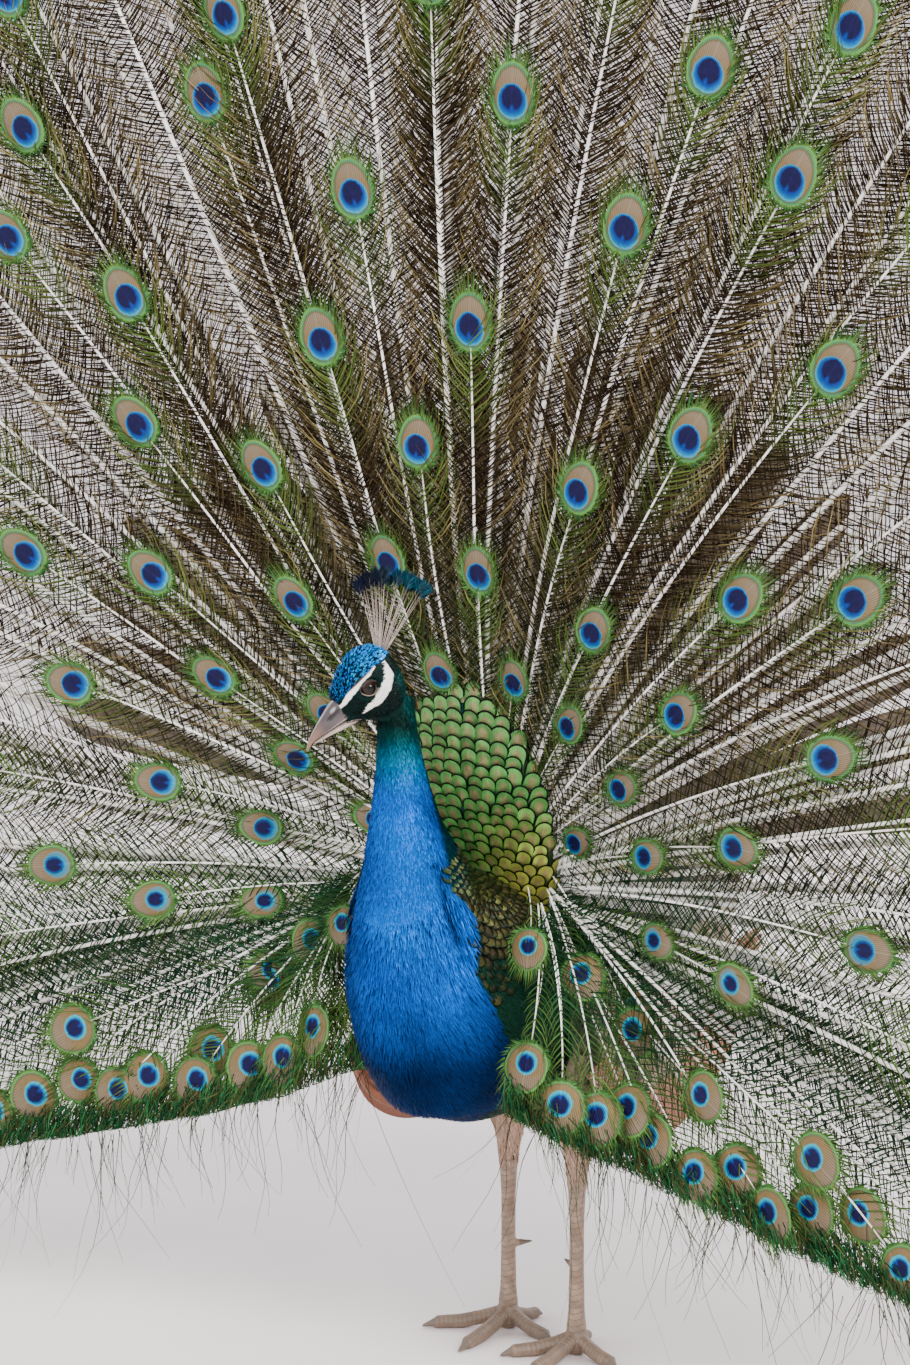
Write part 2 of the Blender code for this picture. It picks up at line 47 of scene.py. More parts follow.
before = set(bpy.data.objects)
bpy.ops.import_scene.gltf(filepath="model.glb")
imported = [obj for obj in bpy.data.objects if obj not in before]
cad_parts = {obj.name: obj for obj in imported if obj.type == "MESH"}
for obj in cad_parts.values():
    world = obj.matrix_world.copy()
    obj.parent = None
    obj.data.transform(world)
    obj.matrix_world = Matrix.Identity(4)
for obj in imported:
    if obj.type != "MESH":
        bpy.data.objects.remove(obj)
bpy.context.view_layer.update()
TRUNK_FRONT = -0.285                # the breast's foremost point in the bird's own frame
SHIFT = np.array(Vector((0.0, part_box("trunk")[0].y - TRUNK_FRONT, 0.0)))

# Body sections from the tail end to the head: front y, front z, back y, back z, half width.
BODY_RIBS = np.array((
    (0.240, 0.372, 0.240, 0.404, 0.016),
    (0.212, 0.330, 0.219, 0.436, 0.050),
    (0.150, 0.275, 0.160, 0.456, 0.077),
    (0.065, 0.236, 0.075, 0.458, 0.089),
    (-0.025, 0.216, -0.015, 0.452, 0.093),
    (-0.105, 0.212, -0.085, 0.446, 0.093),
    (-0.175, 0.222, -0.130, 0.443, 0.090),
    (-0.235, 0.252, -0.158, 0.446, 0.080),
    (-0.272, 0.300, -0.176, 0.452, 0.066),
    (-0.284, 0.350, -0.188, 0.458, 0.054),
    (-0.285, 0.395, -0.197, 0.466, 0.048),
    (-0.281, 0.430, -0.205, 0.476, 0.042),
    (-0.277, 0.462, -0.213, 0.490, 0.0345),
    (-0.274, 0.492, -0.221, 0.508, 0.0275),
    (-0.271, 0.520, -0.2275, 0.528, 0.0225),
    (-0.268, 0.548, -0.2325, 0.549, 0.0185),
    (-0.2675, 0.572, -0.237, 0.570, 0.0165),
    (-0.269, 0.600, -0.241, 0.596, 0.0155),
))
SHOULDER = 0.22                     # how far the widest point sits towards the back

HEAD_AT = Vector((-0.012, -0.275, 0.606))
HEAD_TURN = math.radians(-37.6)
HEAD_NOD = math.radians(28.0)
# In the head's own axes, bill towards -Y: y, bottom z, top z, half width.
HEAD_RIBS = np.array((
    (0.0245, -0.006, 0.014, 0.007),
    (0.021, -0.018, 0.0245, 0.0130),
    (0.013, -0.026, 0.0320, 0.0172),
    (0.002, -0.026, 0.0345, 0.0193),
    (-0.008, -0.023, 0.0328, 0.0190),
    (-0.018, -0.0195, 0.0270, 0.0165),
    (-0.027, -0.0172, 0.0195, 0.0130),
    (-0.034, -0.0155, 0.0125, 0.0098),
))
HEAD_COAT_ENDS = (0.25, 6.95)       # the stretch of those ribs that is feathered
BILL_UPPER = np.array((
    (-0.024, -0.0100, 0.0105, 0.0100),
    (-0.036, -0.0103, 0.0078, 0.0086),
    (-0.046, -0.0108, 0.0028, 0.0068),
    (-0.056, -0.0112, -0.0030, 0.0048),
    (-0.064, -0.0125, -0.0082, 0.0030),
    (-0.0705, -0.0165, -0.0146, 0.0011),
))
BILL_LOWER = np.array((
    (-0.020, -0.0168, -0.0106, 0.0080),
    (-0.036, -0.0160, -0.0109, 0.0068),
    (-0.050, -0.0148, -0.0114, 0.0046),
    (-0.0625, -0.0142, -0.0130, 0.0018),
))
EYE_AT = (0.0132, -0.006, 0.006)
EYE_RADIUS = 0.0075
CREST_BASE = (0.010, 0.022)
CREST_TILT = math.radians(38)
CREST_SPREAD = math.radians(24)

ROOT_Z = 0.42                       # the middle of the raised train
TRAIN_REACH = 1.24
SHIELD_MID_Z, SHIELD_HALF, SHIELD_BULGE = 0.452, (0.079, 0.152), 0.040
RUMP_MID_Z, RUMP_HALF, RUMP_BULGE = 0.450, (0.082, 0.085), 0.105
UNDERTAIL_AT, UNDERTAIL_HALF = (0.0, 0.180, 0.385), (0.074, 0.100, 0.082)
UNDERTAIL_TILT = math.radians(-20)
TAIL_ROOT_Y, TAIL_ROOT_Z, TAIL_LEAN, TAIL_REACH = 0.020, 0.44, 0.30, 0.46
TAIL_HALF_ANGLE, TAIL_FEATHERS = math.radians(82), 20

HOCK_Z, LEG_X = 0.154, 0.043
# side: sign of x, leg y, front toes as (degrees outward, length)
LEGS = {
    "left": (1, -0.034, ((66, 0.058), (-4, 0.078), (-50, 0.067))),
    "right": (-1, -0.002, ((58, 0.076), (1, 0.084), (-70, 0.060))),
}
WING_RIBS = np.array((
    (-0.132, 0.300, 0.090, 0.004, 0.016),
    (-0.120, 0.300, 0.095, 0.012, 0.046),
    (-0.060, 0.304, 0.101, 0.018, 0.064),
    (0.020, 0.314, 0.102, 0.018, 0.064),
    (0.100, 0.328, 0.092, 0.015, 0.052),
    (0.170, 0.345, 0.076, 0.009, 0.034),
))
PRIMARY_RIBS = np.array((
    (-0.150, 0.276, 0.262, 0.112),
    (-0.120, 0.278, 0.220, 0.110),
    (-0.070, 0.280, 0.195, 0.107),
    (-0.010, 0.288, 0.189, 0.102),
    (0.060, 0.298, 0.197, 0.097),
    (0.130, 0.312, 0.214, 0.090),
    (0.200, 0.322, 0.246, 0.082),
    (0.260, 0.324, 0.284, 0.074),
))
PATCH = 0.003                       # side of each tuft's patch on the bake map
SHAFT_SIDES = 6
SIDES = (("left", 1), ("right", -1))
SCATTER_CELLS = 140                 # cells each way in which a coat's places are counted out


# ------------------------------------------------------------------ number tools
def unit(vectors):
    return vectors / np.maximum(np.linalg.norm(vectors, axis=-1, keepdims=True), 1e-12)


def step(low, high, value):
    t = np.clip((value - low) / (high - low), 0.0, 1.0)
    return t * t * (3 - 2 * t)


def mix(first, second, share):
    first, second = np.asarray(first, float), np.asarray(second, float)
    return first + (second - first) * np.asarray(share)[..., None]


def between(low, high, share):
    return low + (high - low) * share


def painted(colour, *layers):
    """A colour with layers of (paint, share) laid over it in turn."""
    for paint, share in layers:
        colour = mix(colour, paint, share)
    return colour


def stacked(*parts):
    """Arrays joined along a new last axis, each stretched to the shape they share."""
    return np.stack(np.broadcast_arrays(*parts), -1)


def swing(low, high, a):
    """From high where a is 0 to low on the far side of the round."""
    return (low + high) / 2 + (high - low) / 2 * np.cos(a)


def along_rows(rows, v):
    """Catmull-Rom values at the places v along rows of numbers, one array for each column."""
    padded = np.vstack((rows[:1], rows, rows[-1:]))
    i = np.clip(np.floor(v).astype(int), 0, len(rows) - 2)
    t = (v - i)[..., None]
    p, q, r, s = (padded[i + k] for k in range(4))
    values = 0.5 * (2 * q + (r - p) * t + (2 * p - 5 * q + 4 * r - s) * t * t
                    + (3 * q - p - 3 * r + s) * t ** 3)
    return np.moveaxis(values, -1, 0)


def head_matrix():
    turn = Matrix.Rotation(HEAD_TURN, 4, "Z") @ Matrix.Rotation(HEAD_NOD, 4, "X")
    return Matrix.Translation(HEAD_AT) @ turn


HEAD = np.array(head_matrix())
HEAD_BACK = np.linalg.inv(HEAD)


def from_head(points):
    return points @ HEAD[:3, :3].T + HEAD[:3, 3]


def to_head(points):
    return points @ HEAD_BACK[:3, :3].T + HEAD_BACK[:3, 3]


# --------------------------------------------------------------------- surfaces
def fan_y(x, high):
    """How far forward the train's face lies at x and high above its middle."""
    rho, phi = np.hypot(x, high), np.arctan2(x, high)
    droop = step(math.radians(105), math.radians(145), np.abs(phi))
    return -0.11 - 0.22 * rho + 0.06 * rho ** 2 - 0.05 * droop


def low_edge(x):
    """Height of the train's lower edge at a distance from the body's middle."""
    return 0.05 + 0.255 * np.exp(-np.abs(x) / 0.52)


def body_surface(v, a):
    """The body's outside at v along BODY_RIBS and a round from its back."""
    front_y, front_z, back_y, back_z, half = along_rows(BODY_RIBS, v)
    egg = SHOULDER * (1 - step(0.43, 0.50, front_z))
    lean = 0.3 * HEAD_AT.x * step(0.48, 0.60, front_z)
    x = lean + half * np.sin(a) * (1 + egg * np.cos(a))
    return stacked(x, swing(front_y, back_y, a), swing(front_z, back_z, a))


def head_surface(v, a):
    """The head's outside in its own axes; a runs round from the crown."""
    y, low, high, half = along_rows(HEAD_RIBS, v)
    return stacked(half * np.sin(a), y, swing(low, high, a))


def rump_surface(v, a):
    """The mound behind the train's root; v runs from its rim (0) to its top (1)."""
    share = np.sin(0.5 * math.pi * (1 - v))
    x = RUMP_HALF[0] * share * np.sin(a)
    z = RUMP_MID_Z + RUMP_HALF[1] * share * np.cos(a)
    rise = RUMP_BULGE * np.sqrt(np.clip(1 - share ** 2, 0, 1))
    return stacked(x, fan_y(x, z - ROOT_Z) + 0.001 + rise, z)


def undertail_surface(v, a):
    """An egg below the tail's root; v runs from its rear pole (0) to its front pole (1)."""
    polar = math.pi * v
    x = UNDERTAIL_HALF[0] * np.sin(polar) * np.sin(a)
    y = UNDERTAIL_HALF[1] * np.cos(polar)
    z = UNDERTAIL_HALF[2] * np.sin(polar) * np.cos(a)
    c, s = math.cos(UNDERTAIL_TILT), math.sin(UNDERTAIL_TILT)
    return stacked(x, y * c - z * s, y * s + z * c) + np.array(UNDERTAIL_AT)


def thigh_surface(sign, leg_y):
    rows = np.array(((0.095, 0.008, 0.0310), (0.060, 0.004, 0.0235), (0.030, 0.0, 0.0140),
                     (0.012, 0.0, 0.0100), (0.0005, 0.0, 0.0088)))

    def surface(v, a):
        high, forward, radius = along_rows(rows, v)
        return stacked(sign * LEG_X + radius * np.sin(a), leg_y - forward + radius * np.cos(a),
                       HOCK_Z + high)
    return surface


def wing_surface(sign):
    def surface(v, a):
        y, z, x, half_x, half_z = along_rows(WING_RIBS, v)
        return stacked(sign * (x + half_x * np.sin(a)), y, z + half_z * np.cos(a))
    return surface


def lay(surface, v, a, inside=None, towards_start=True):
    """Points of a surface with their outward normals and the lie of the coat along v."""
    e = 1e-3
    here = surface(v, a)
    along = surface(v + e, a) - surface(v - e, a)
    normal = unit(np.cross(along, surface(v, a + e) - surface(v, a - e)))
    if inside is None:
        inside = sum(surface(v, a + k * math.pi / 2) for k in range(4)) / 4
    outward = np.sum(normal * (here - inside), -1, keepdims=True) >= 0
    return here, np.where(outward, normal, -normal), unit(-along if towards_start else along)


def scatter(surface, v_ends, count, seed, weight=None):
    """Places (v, a) spread evenly round a surface, or as densely as weight says."""
    rand = np.random.default_rng(seed)
    dv, da = (v_ends[1] - v_ends[0]) / SCATTER_CELLS, 2 * math.pi / SCATTER_CELLS
    middles = np.arange(SCATTER_CELLS) + 0.5
    v, a = np.meshgrid(v_ends[0] + dv * middles, da * middles, indexing="ij")
    v, a = v.ravel(), a.ravel()
    along = surface(v + dv / 2, a) - surface(v - dv / 2, a)
    across = surface(v, a + da / 2) - surface(v, a - da / 2)
    area = np.linalg.norm(np.cross(along, across), axis=-1)
    if weight is not None:
        area = area * weight(surface(v, a))
    total = np.cumsum(area)
    spots = (np.arange(count) + rand.random(count)) / count * total[-1]
    cell = np.clip(np.searchsorted(total, spots), 0, len(v) - 1)
    return v[cell] + (rand.random(count) - 0.5) * dv, a[cell] + (rand.random(count) - 0.5) * da


def map_of(v, a, v_ends):
    """Roots on an unwrap of a surface that is a tube along v."""
    return stacked((a / (2 * math.pi)) % 1.0 * 0.99,
                   0.005 + (v - v_ends[0]) / (v_ends[1] - v_ends[0]) * 0.98)


# ------------------------------------------------------------------- mesh making
class Coat:
    """Gathers sheets of points into one mesh, each point with a tint and a place."""

    def __init__(self):
        self.points, self.tints, self.places, self.maps = [], [], [], []
        self.faces, self.slots, self.count = [], [], 0

    def sheets(self, points, tints, maps, places=0.0, wrap=False, caps=(False, False), slot=0):
        """Adds n sheets: points is (n, rows, columns, 3), maps their roots or every point."""
        n, rows, columns = points.shape[:3]
        index = self.count + np.arange(n * rows * columns).reshape(n, rows, columns)
        here = index if wrap else index[:, :, :-1]
        after = np.roll(index, -1, axis=2) if wrap else index[:, :, 1:]
        quads = stacked(here[:, :-1], after[:, :-1], after[:, 1:], here[:, 1:])
        found = [quads.reshape(-1, 4)]
        if caps[0]:
            found.append(index[:, 0, ::-1])
        if caps[1]:
            found.append(index[:, -1])
        for faces in found:
            self.faces.append(faces)
            self.slots.append(np.full(len(faces), slot))
        if maps.ndim == 2:
            local = stacked(np.linspace(-0.5, 0.5, columns), np.linspace(-0.5, 0.5, rows)[:, None])
            maps = maps[:, None, None] + PATCH * local
        shape = (n, rows, columns)
        self.points.append(points.reshape(-1, 3))
        self.tints.append(np.broadcast_to(tints, shape + (3,)).reshape(-1, 3))
        self.places.append(np.broadcast_to(places, shape + (3,)).reshape(-1, 3))
        self.maps.append(np.broadcast_to(maps, shape + (2,)).reshape(-1, 2))
        self.count += n * rows * columns

    def make(self, name, materials, on_head=False):
        points = np.concatenate(self.points)
        if on_head:
            points = from_head(points)
        corners = np.concatenate([faces.ravel() for faces in self.faces])
        sizes = np.concatenate([np.full(len(faces), faces.shape[1]) for faces in self.faces])
        mesh = bpy.data.meshes.new(name)
        mesh.vertices.add(len(points))
        mesh.vertices.foreach_set("co", (points + SHIFT).astype(np.float32).ravel())
        mesh.loops.add(len(corners))
        mesh.loops.foreach_set("vertex_index", corners.astype(np.int32))
        mesh.polygons.add(len(sizes))
        starts = np.concatenate(([0], np.cumsum(sizes)[:-1]))
        mesh.polygons.foreach_set("loop_start", starts.astype(np.int32))
        mesh.polygons.foreach_set("material_index", np.concatenate(self.slots).astype(np.int32))
        mesh.update(calc_edges=True)
        mesh.shade_smooth()
        add_attributes(mesh, np.concatenate(self.tints), np.concatenate(self.places))
        maps = np.concatenate(self.maps)[corners]
        layer = mesh.uv_layers.new(name="OFBake")
        layer.data.foreach_set("uv", maps.astype(np.float32).ravel())
        for material in materials:
            mesh.materials.append(material)
        return link(name, mesh)


def add_attributes(mesh, tints, places):
    """The tint and place that the materials read at each point."""
    colours = np.ones((len(tints), 4), np.float32)
    colours[:, :3] = np.clip(tints, 0.0, 1.0)
    mesh.color_attributes.new("tint", "FLOAT_COLOR", "POINT").data.foreach_set(
        "color", colours.ravel())
    mesh.attributes.new("place", "FLOAT_VECTOR", "POINT").data.foreach_set(
        "vector", places.astype(np.float32).ravel())


def link(name, mesh):
    obj = bpy.data.objects.new(name, mesh)
    bpy.context.scene.collection.objects.link(obj)
    return obj


def settle(obj, slot, *nodes):
    """Fixes a finished piece to the frame in place of CAD nodes."""
    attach(obj, "root")
    if nodes:
        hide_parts(*nodes)


def ribbons(coat, path, facing, half_width, tints, maps):
    """Flat strands: path is (n, rows, 3), facing the direction that each one's face looks."""
    tangent = unit(np.gradient(path, axis=1))
    side = unit(np.cross(tangent, facing)) * half_width[..., None]
    points = np.stack((path - side, path + side), axis=2)
    coat.sheets(points, tints, maps)


def tubes(coat, path, radius, tints, maps, slot=0):
    """Round shafts: path is (n, rows, 3), radius (n, rows)."""
    tangent = unit(np.gradient(path, axis=1))
    across = unit(np.cross(tangent, np.array((0.31, 0.17, 0.93))))
    third = np.cross(tangent, across)
    turn = 2 * math.pi * np.arange(SHAFT_SIDES)[:, None] / SHAFT_SIDES
    ring = across[:, :, None] * np.cos(turn) + third[:, :, None] * np.sin(turn)
    points = path[:, :, None] + ring * radius[..., None, None]
    coat.sheets(points, tints, maps, wrap=True, caps=(True, True), slot=slot)


def tufts(coat, base, length, half_width, depth, lift, tints, tip_tints, maps, seed, stray):
    """Flat pointed feathers laid along the coat: base is (points, normals, lie)."""
    root, normal, lie = base
    n = len(root)
    rand = np.random.default_rng(seed)
    side = np.cross(normal, lie)
    lie = unit(lie + side * rand.normal(0, stray, (n, 1)))
    t = np.linspace(0, 1, 3)
    rise = -depth * (1 - t) ** 1.5 + lift[:, None] * t ** 2
    path = (root[:, None] + lie[:, None] * (length[:, None] * t)[..., None]
            + normal[:, None] * rise[..., None])
    facing = unit(normal + side * rand.normal(0, 0.25, (n, 1)))[:, None]
    half_width = half_width[:, None] * np.array((0.8, 1.0, 0.12))
    colours = mix(tints[:, None], tip_tints[:, None], t)
    ribbons(coat, path, facing, half_width, colours[:, :, None], maps)


def scales(coat, base, length, half_width, depth, lift, cup, tints, maps, back=0.5):
    """Round-ended feathers; place holds each point's offset from the round end's middle."""
    root, normal, lie, length, half_width, lift, tints = (
        part[:, None, None] for part in (*base, length, half_width, lift, tints))
    t = np.array((0.0, 0.3, 0.55, 0.75, 0.9, 0.97, 1.0))[:, None]
    ratio = length / half_width
    rise = t * ratio - (ratio - 1)
    outline = np.sqrt(np.clip(1 - np.clip(rise, 0, 0.985) ** 2, 0, 1)) * (0.55 + 0.45 * step(0, 0.5, t))
    x = np.linspace(-1, 1, 7) * outline
    high = -depth * (1 - t) + lift * t ** 1.5 - cup * half_width * x ** 2
    points = (root + lie * ((t - back) * length)[..., None] + normal * high[..., None]
              + np.cross(lie, normal) * (x * half_width)[..., None])
    coat.sheets(points, tints, maps, stacked(x, rise, 0.0))


# --------------------------------------------------------------------- markings
TEAL_DARK, TEAL, BLUE = (0.001, 0.036, 0.034), (0.000, 0.135, 0.23), (0.000, 0.064, 0.35)
# On the next line the lighter blue is painted sheen and the deep blue is painted shade, laid into the
# blue plumage's colour.
BLUE_PAINTED_SHEEN, BLUE_PAINTED_SHADE, BELLY = (0.000, 0.132, 0.50), (0.000, 0.011, 0.052), (0.004, 0.018, 0.022)
# The first colour on the next line is painted shade for the back of the neck.
NAPE_PAINTED_SHADE, FLANK_DARK = (0.001, 0.020, 0.028), (0.004, 0.024, 0.014)
BUFF, GREY_DOWN, RUMP_BROWN = (0.50, 0.335, 0.235), (0.16, 0.13, 0.11), (0.085, 0.065, 0.045)
FACE_DARK, CROWN_BLUE, BARE_WHITE = (0.002, 0.012, 0.010), (0.000, 0.160, 0.54), (0.80, 0.79, 0.76)
SHIELD_DARK, LID_GREY = (0.012, 0.030, 0.010), (0.050, 0.037, 0.033)
WING_BROWN = (0.16, 0.12, 0.08)

# The bare stripes of the face in the head's axes: y, z, width.
LORE_STRIPE = np.array(((0.005, 0.019, 0.0020), (-0.0127, 0.0139, 0.0050),
                        (-0.0215, 0.0096, 0.0052), (-0.0300, 0.0046, 0.0032),
                        (-0.0386, 0.0004, 0.0012)))
CHEEK_STRIPE = np.array(((0.0142, 0.0169, 0.0045), (0.0124, 0.0070, 0.0092),
                         (0.0054, -0.0007, 0.0090), (-0.0041, -0.0058, 0.0080),
                         (-0.0147, -0.0077, 0.0050), (-0.0200, -0.0100, 0.0015)))


def beside_line(points, line):
    """For each stretch of a broken line: how far off points lie, and the share along it."""
    for start, end in zip(line, line[1:]):
        run = end - start
        t = np.clip(((points - start) @ run) / (run @ run), 0, 1)
        yield np.linalg.norm(points - start - t[..., None] * run, axis=-1), t


def within_stripe(points, stripe):
    """How far inside a stripe points of the face lie: positive within it, in metres."""
    best = -1.0
    for k, (away, t) in enumerate(beside_line(points, stripe[:, :2])):
        best = np.maximum(best, between(stripe[k, 2], stripe[k + 1, 2], t) / 2 - away)
    return best


def ripple(points, size):
    """A smooth irregular wave between -1 and 1."""
    x, y, z = (points[..., k] / size for k in range(3))
    return (np.sin(x + 1.7 * np.sin(y * 0.9)) * np.cos(y * 1.1 + 1.3 * np.sin(z * 0.8))
            * np.sin(z + 1.5 * np.sin(x * 0.7)))


def bare_face(local):
    """How far inside the bare white stripes a point of the head lies, in metres."""
    lore, cheek = (within_stripe(local[..., 1:], stripe) for stripe in (LORE_STRIPE, CHEEK_STRIPE))
    return np.maximum(lore, cheek) + 0.0006 * ripple(local, 0.0016)


def crown_share(local):
    """One on the blue crown, nought on the dark face and throat."""
    back = local[..., 1] - 0.005
    brow = 0.0195 + np.where(back > 0, 0.10, 0.30) * back
    return step(-0.0008, 0.0008, local[..., 2] - brow)


def head_marks(local):
    """The colour of the head's skin and coat at points in its own axes."""
    crown = crown_share(local)
    nape = step(0.010, 0.018, local[..., 1]) * step(0.010, -0.002, local[..., 2])
    return painted(FACE_DARK, (CROWN_BLUE, crown), (TEAL_DARK, nape * (1 - crown)),
                   (BARE_WHITE, step(-0.0002, 0.0003, bare_face(local))))


# How far back the blue of the breast and neck reaches: height, y.
BLUE_EDGE = np.array(((0.20, -0.150), (0.26, -0.178), (0.30, -0.200), (0.344, -0.225),
                      (0.385, -0.240), (0.412, -0.234), (0.430, -0.232), (0.442, -0.243),
                      (0.452, -0.248), (0.500, -0.241), (0.565, -0.245)))
CREASE = np.array(((0.034, -0.254, 0.468), (0.041, -0.251, 0.432), (0.052, -0.246, 0.398)))
LOBE_AT, LOBE_SIZE = np.array((0.055, -0.226, 0.414)), np.array((0.022, 0.022, 0.028))


def past_blue(points):
    """How far behind the blue's edge each point lies, in metres."""
    ragged = 0.0012 * ripple(points, 0.004)
    return points[..., 1] - np.interp(points[..., 2], BLUE_EDGE[:, 0], BLUE_EDGE[:, 1]) + ragged


def on_left(points):
    """Points with those of the bird's right side mirrored to its left."""
    return stacked(np.abs(points[..., 0]), points[..., 1], points[..., 2])


def crease_share(points):
    """One in the fold between the neck and the shoulder's lobe, nought away from it."""
    away = np.min([away for away, _ in beside_line(on_left(points), CREASE)], axis=0)
    return np.exp(-(away / 0.0050) ** 2) * step(0.392, 0.415, points[..., 2])


def body_relief(points):
    """How far the coat stands out or sinks at points of the body, in metres."""
    here = on_left(points)
    y, z = points[..., 1], points[..., 2]
    lobe = 0.0060 * np.exp(-np.sum(((here - LOBE_AT) / LOBE_SIZE) ** 2, axis=-1))
    past = past_blue(points)
    edge = (0.0022 * step(-0.022, -0.004, past) * step(0.002, -0.002, past)
            - 0.0020 * step(-0.002, 0.004, past)) * step(0.30, 0.34, z)
    tuck = -0.0115 * step(0.268, 0.232, z) * step(-0.02, -0.10, y)
    tuck = tuck * between(0.25, 1.0, step(0.085, 0.045, here[..., 0]))
    return lobe + edge * step(0.47, 0.44, z) - 0.0050 * crease_share(points) + tuck


def markings(points):
    """The colour of skin and coat at points in the bird's own frame, with painted sheen and painted shade
    laid into the blue.
    """
    x, y, z = points[..., 0], points[..., 1], points[..., 2]
    past = past_blue(points)
    neck = mix(TEAL, TEAL_DARK, step(0.545, 0.575, z))
    # Painted sheen: patches of lighter blue, strongest between 0.44 and 0.50 m up on the neck and upper
    # breast.
    front = np.clip(step(0.38, 0.44, z) * step(0.56, 0.50, z) + 0.45, 0, 1)
    painted_sheen = 0.55 * (0.5 + 0.5 * ripple(points, 0.022)) * front
    wing = step(0.078, 0.090, np.abs(x)) * step(-0.13, -0.11, y) * step(0.40, 0.36, z)
    head = step(0.5775, 0.5825, z + 0.25 * (y + 0.275))
    return painted(BLUE,
                   (neck, step(0.520, 0.560, z)),
                   (BLUE_PAINTED_SHEEN, painted_sheen * step(0.24, 0.34, z) * step(0.57, 0.52, z)),
                   # Painted shade in deep blue: lower on the breast, down the bird's right side away from
                   # the light, along the blue's rear edge low down, and in the crease by the shoulder's
                   # lobe.
                   (BLUE_PAINTED_SHADE, step(0.378, 0.296, z)),
                   (BLUE_PAINTED_SHADE, 0.70 * step(-0.015, -0.075, x) * step(0.57, 0.45, z)),
                   (BLUE_PAINTED_SHADE, 0.75 * step(-0.020, -0.002, past) * step(0.40, 0.33, z)),
                   (BLUE_PAINTED_SHADE, 0.85 * crease_share(points)),
                   # Painted shade: near-black teal at the back of the neck, behind the blue's edge.
                   (NAPE_PAINTED_SHADE, step(-0.003, 0.003, past) * step(0.60, 0.56, z)),
                   (FLANK_DARK, step(-0.002, 0.003, past) * step(0.46, 0.44, z)),
                   (BELLY, step(-0.14, -0.03, y) * step(0.45, 0.36, z)),
                   (SHIELD_DARK, step(-0.19, -0.15, y) * step(0.40, 0.43, z)),
                   (WING_BROWN, wing),
                   (GREY_DOWN, step(0.06, 0.10, y)),
                   (RUMP_BROWN, step(-0.10, -0.08, y) * step(0.445, 0.465, z)),
                   (BUFF, step(0.232, 0.212, z)),
                   (head_marks(to_head(points)), head))


# -------------------------------------------------------------------- materials
class Tree:
    """A short way to write a node tree."""

    def __init__(self, tree):
        self.tree = tree

    def add(self, kind, inputs=None, **settings):
        node = self.tree.nodes.new("ShaderNode" + kind)
        for key, value in settings.items():
            setattr(node, key, value)
        for key, value in (inputs or {}).items():
            self.put(node.inputs[key], value)
        return node

    def put(self, socket, value):
        if isinstance(value, bpy.types.NodeSocket):
            self.tree.links.new(value, socket)
        elif isinstance(value, tuple) and socket.type == "RGBA" and len(value) == 3:
            socket.default_value = (*value, 1.0)
        else:
            socket.default_value = value

    def math(self, operation, *values):
        return self.add("Math", dict(enumerate(values)), operation=operation).outputs[0]

    def vector(self, operation, *values):
        node = self.add("VectorMath", dict(enumerate(values)), operation=operation)
        return node.outputs["Value" if operation == "LENGTH" else "Vector"]

    def scaled(self, vector, gain):
        return self.add("VectorMath", {0: vector, "Scale": gain}, operation="SCALE").outputs["Vector"]

    def ramp(self, value, low, high, out_low=0.0, out_high=1.0):
        inputs = dict(enumerate((value, low, high, out_low, out_high)))
        return self.add("MapRange", inputs, interpolation_type="SMOOTHSTEP").outputs["Result"]

    def blend(self, share, first, second):
        return self.add("Mix", {0: share, 6: first, 7: second}, data_type="RGBA").outputs[2]

    def noise(self, scale, vector, detail):
        return self.add("TexNoise", {"Scale": scale, "Detail": detail, "Vector": vector}).outputs

    def here(self):
        return self.add("TexCoord").outputs["Object"]

    def attribute(self, name, output="Color"):
        return self.add("Attribute", attribute_name=name).outputs[output]

    def parts(self, vector):
        return self.add("SeparateXYZ", {"Vector": vector}).outputs

    def flat(self, x, y):
        return self.add("CombineXYZ", {"X": x, "Y": y, "Z": 0.0}).outputs["Vector"]

    def group(self, node_tree, **inputs):
        return self.add("Group", inputs, node_tree=node_tree).outputs


def node_group(name, inputs, outputs, build):
    """A shader node group; inputs give each socket's type and default, outputs its type."""
    found = bpy.data.node_groups.get(name)
    if found:
        return found
    group = bpy.data.node_groups.new(name, "ShaderNodeTree")
    for label, (kind, default) in inputs.items():
        socket = group.interface.new_socket(name=label, in_out="INPUT", socket_type="NodeSocket" + kind)
        socket.default_value = default
    for label, kind in outputs.items():
        group.interface.new_socket(name=label, in_out="OUTPUT", socket_type="NodeSocket" + kind)
    start, end = group.nodes.new("NodeGroupInput"), group.nodes.new("NodeGroupOutput")
    tree = Tree(group)
    for label, value in build(tree, start.outputs).items():
        tree.put(end.inputs[label], value)
    return group


def plume_tint():
    """Varies a plumage colour softly over the body and strand by strand."""
    def build(tree, given):
        here = tree.here()
        broad = tree.noise(given["Broad"], here, 2.0)["Fac"]
        fine = tree.noise(given["Fine"], here, 3.0)["Fac"]
        both = tree.math("ADD", tree.math("MULTIPLY", broad, 0.5), tree.math("MULTIPLY", fine, 0.5))
        low = tree.math("SUBTRACT", 1.0, given["Depth"])
        high = tree.math("ADD", 1.0, given["Depth"])
        return {"Color": tree.scaled(given["Tint"], tree.ramp(both, 0.32, 0.68, low, high))}
    inputs = {"Tint": ("Color", (0.5, 0.5, 0.5, 1.0)), "Broad": ("Float", 20.0), "Fine": ("Float", 400.0),
              "Depth": ("Float", 0.25)}
    return node_group("Plume tint", inputs, {"Color": "Color"}, build)


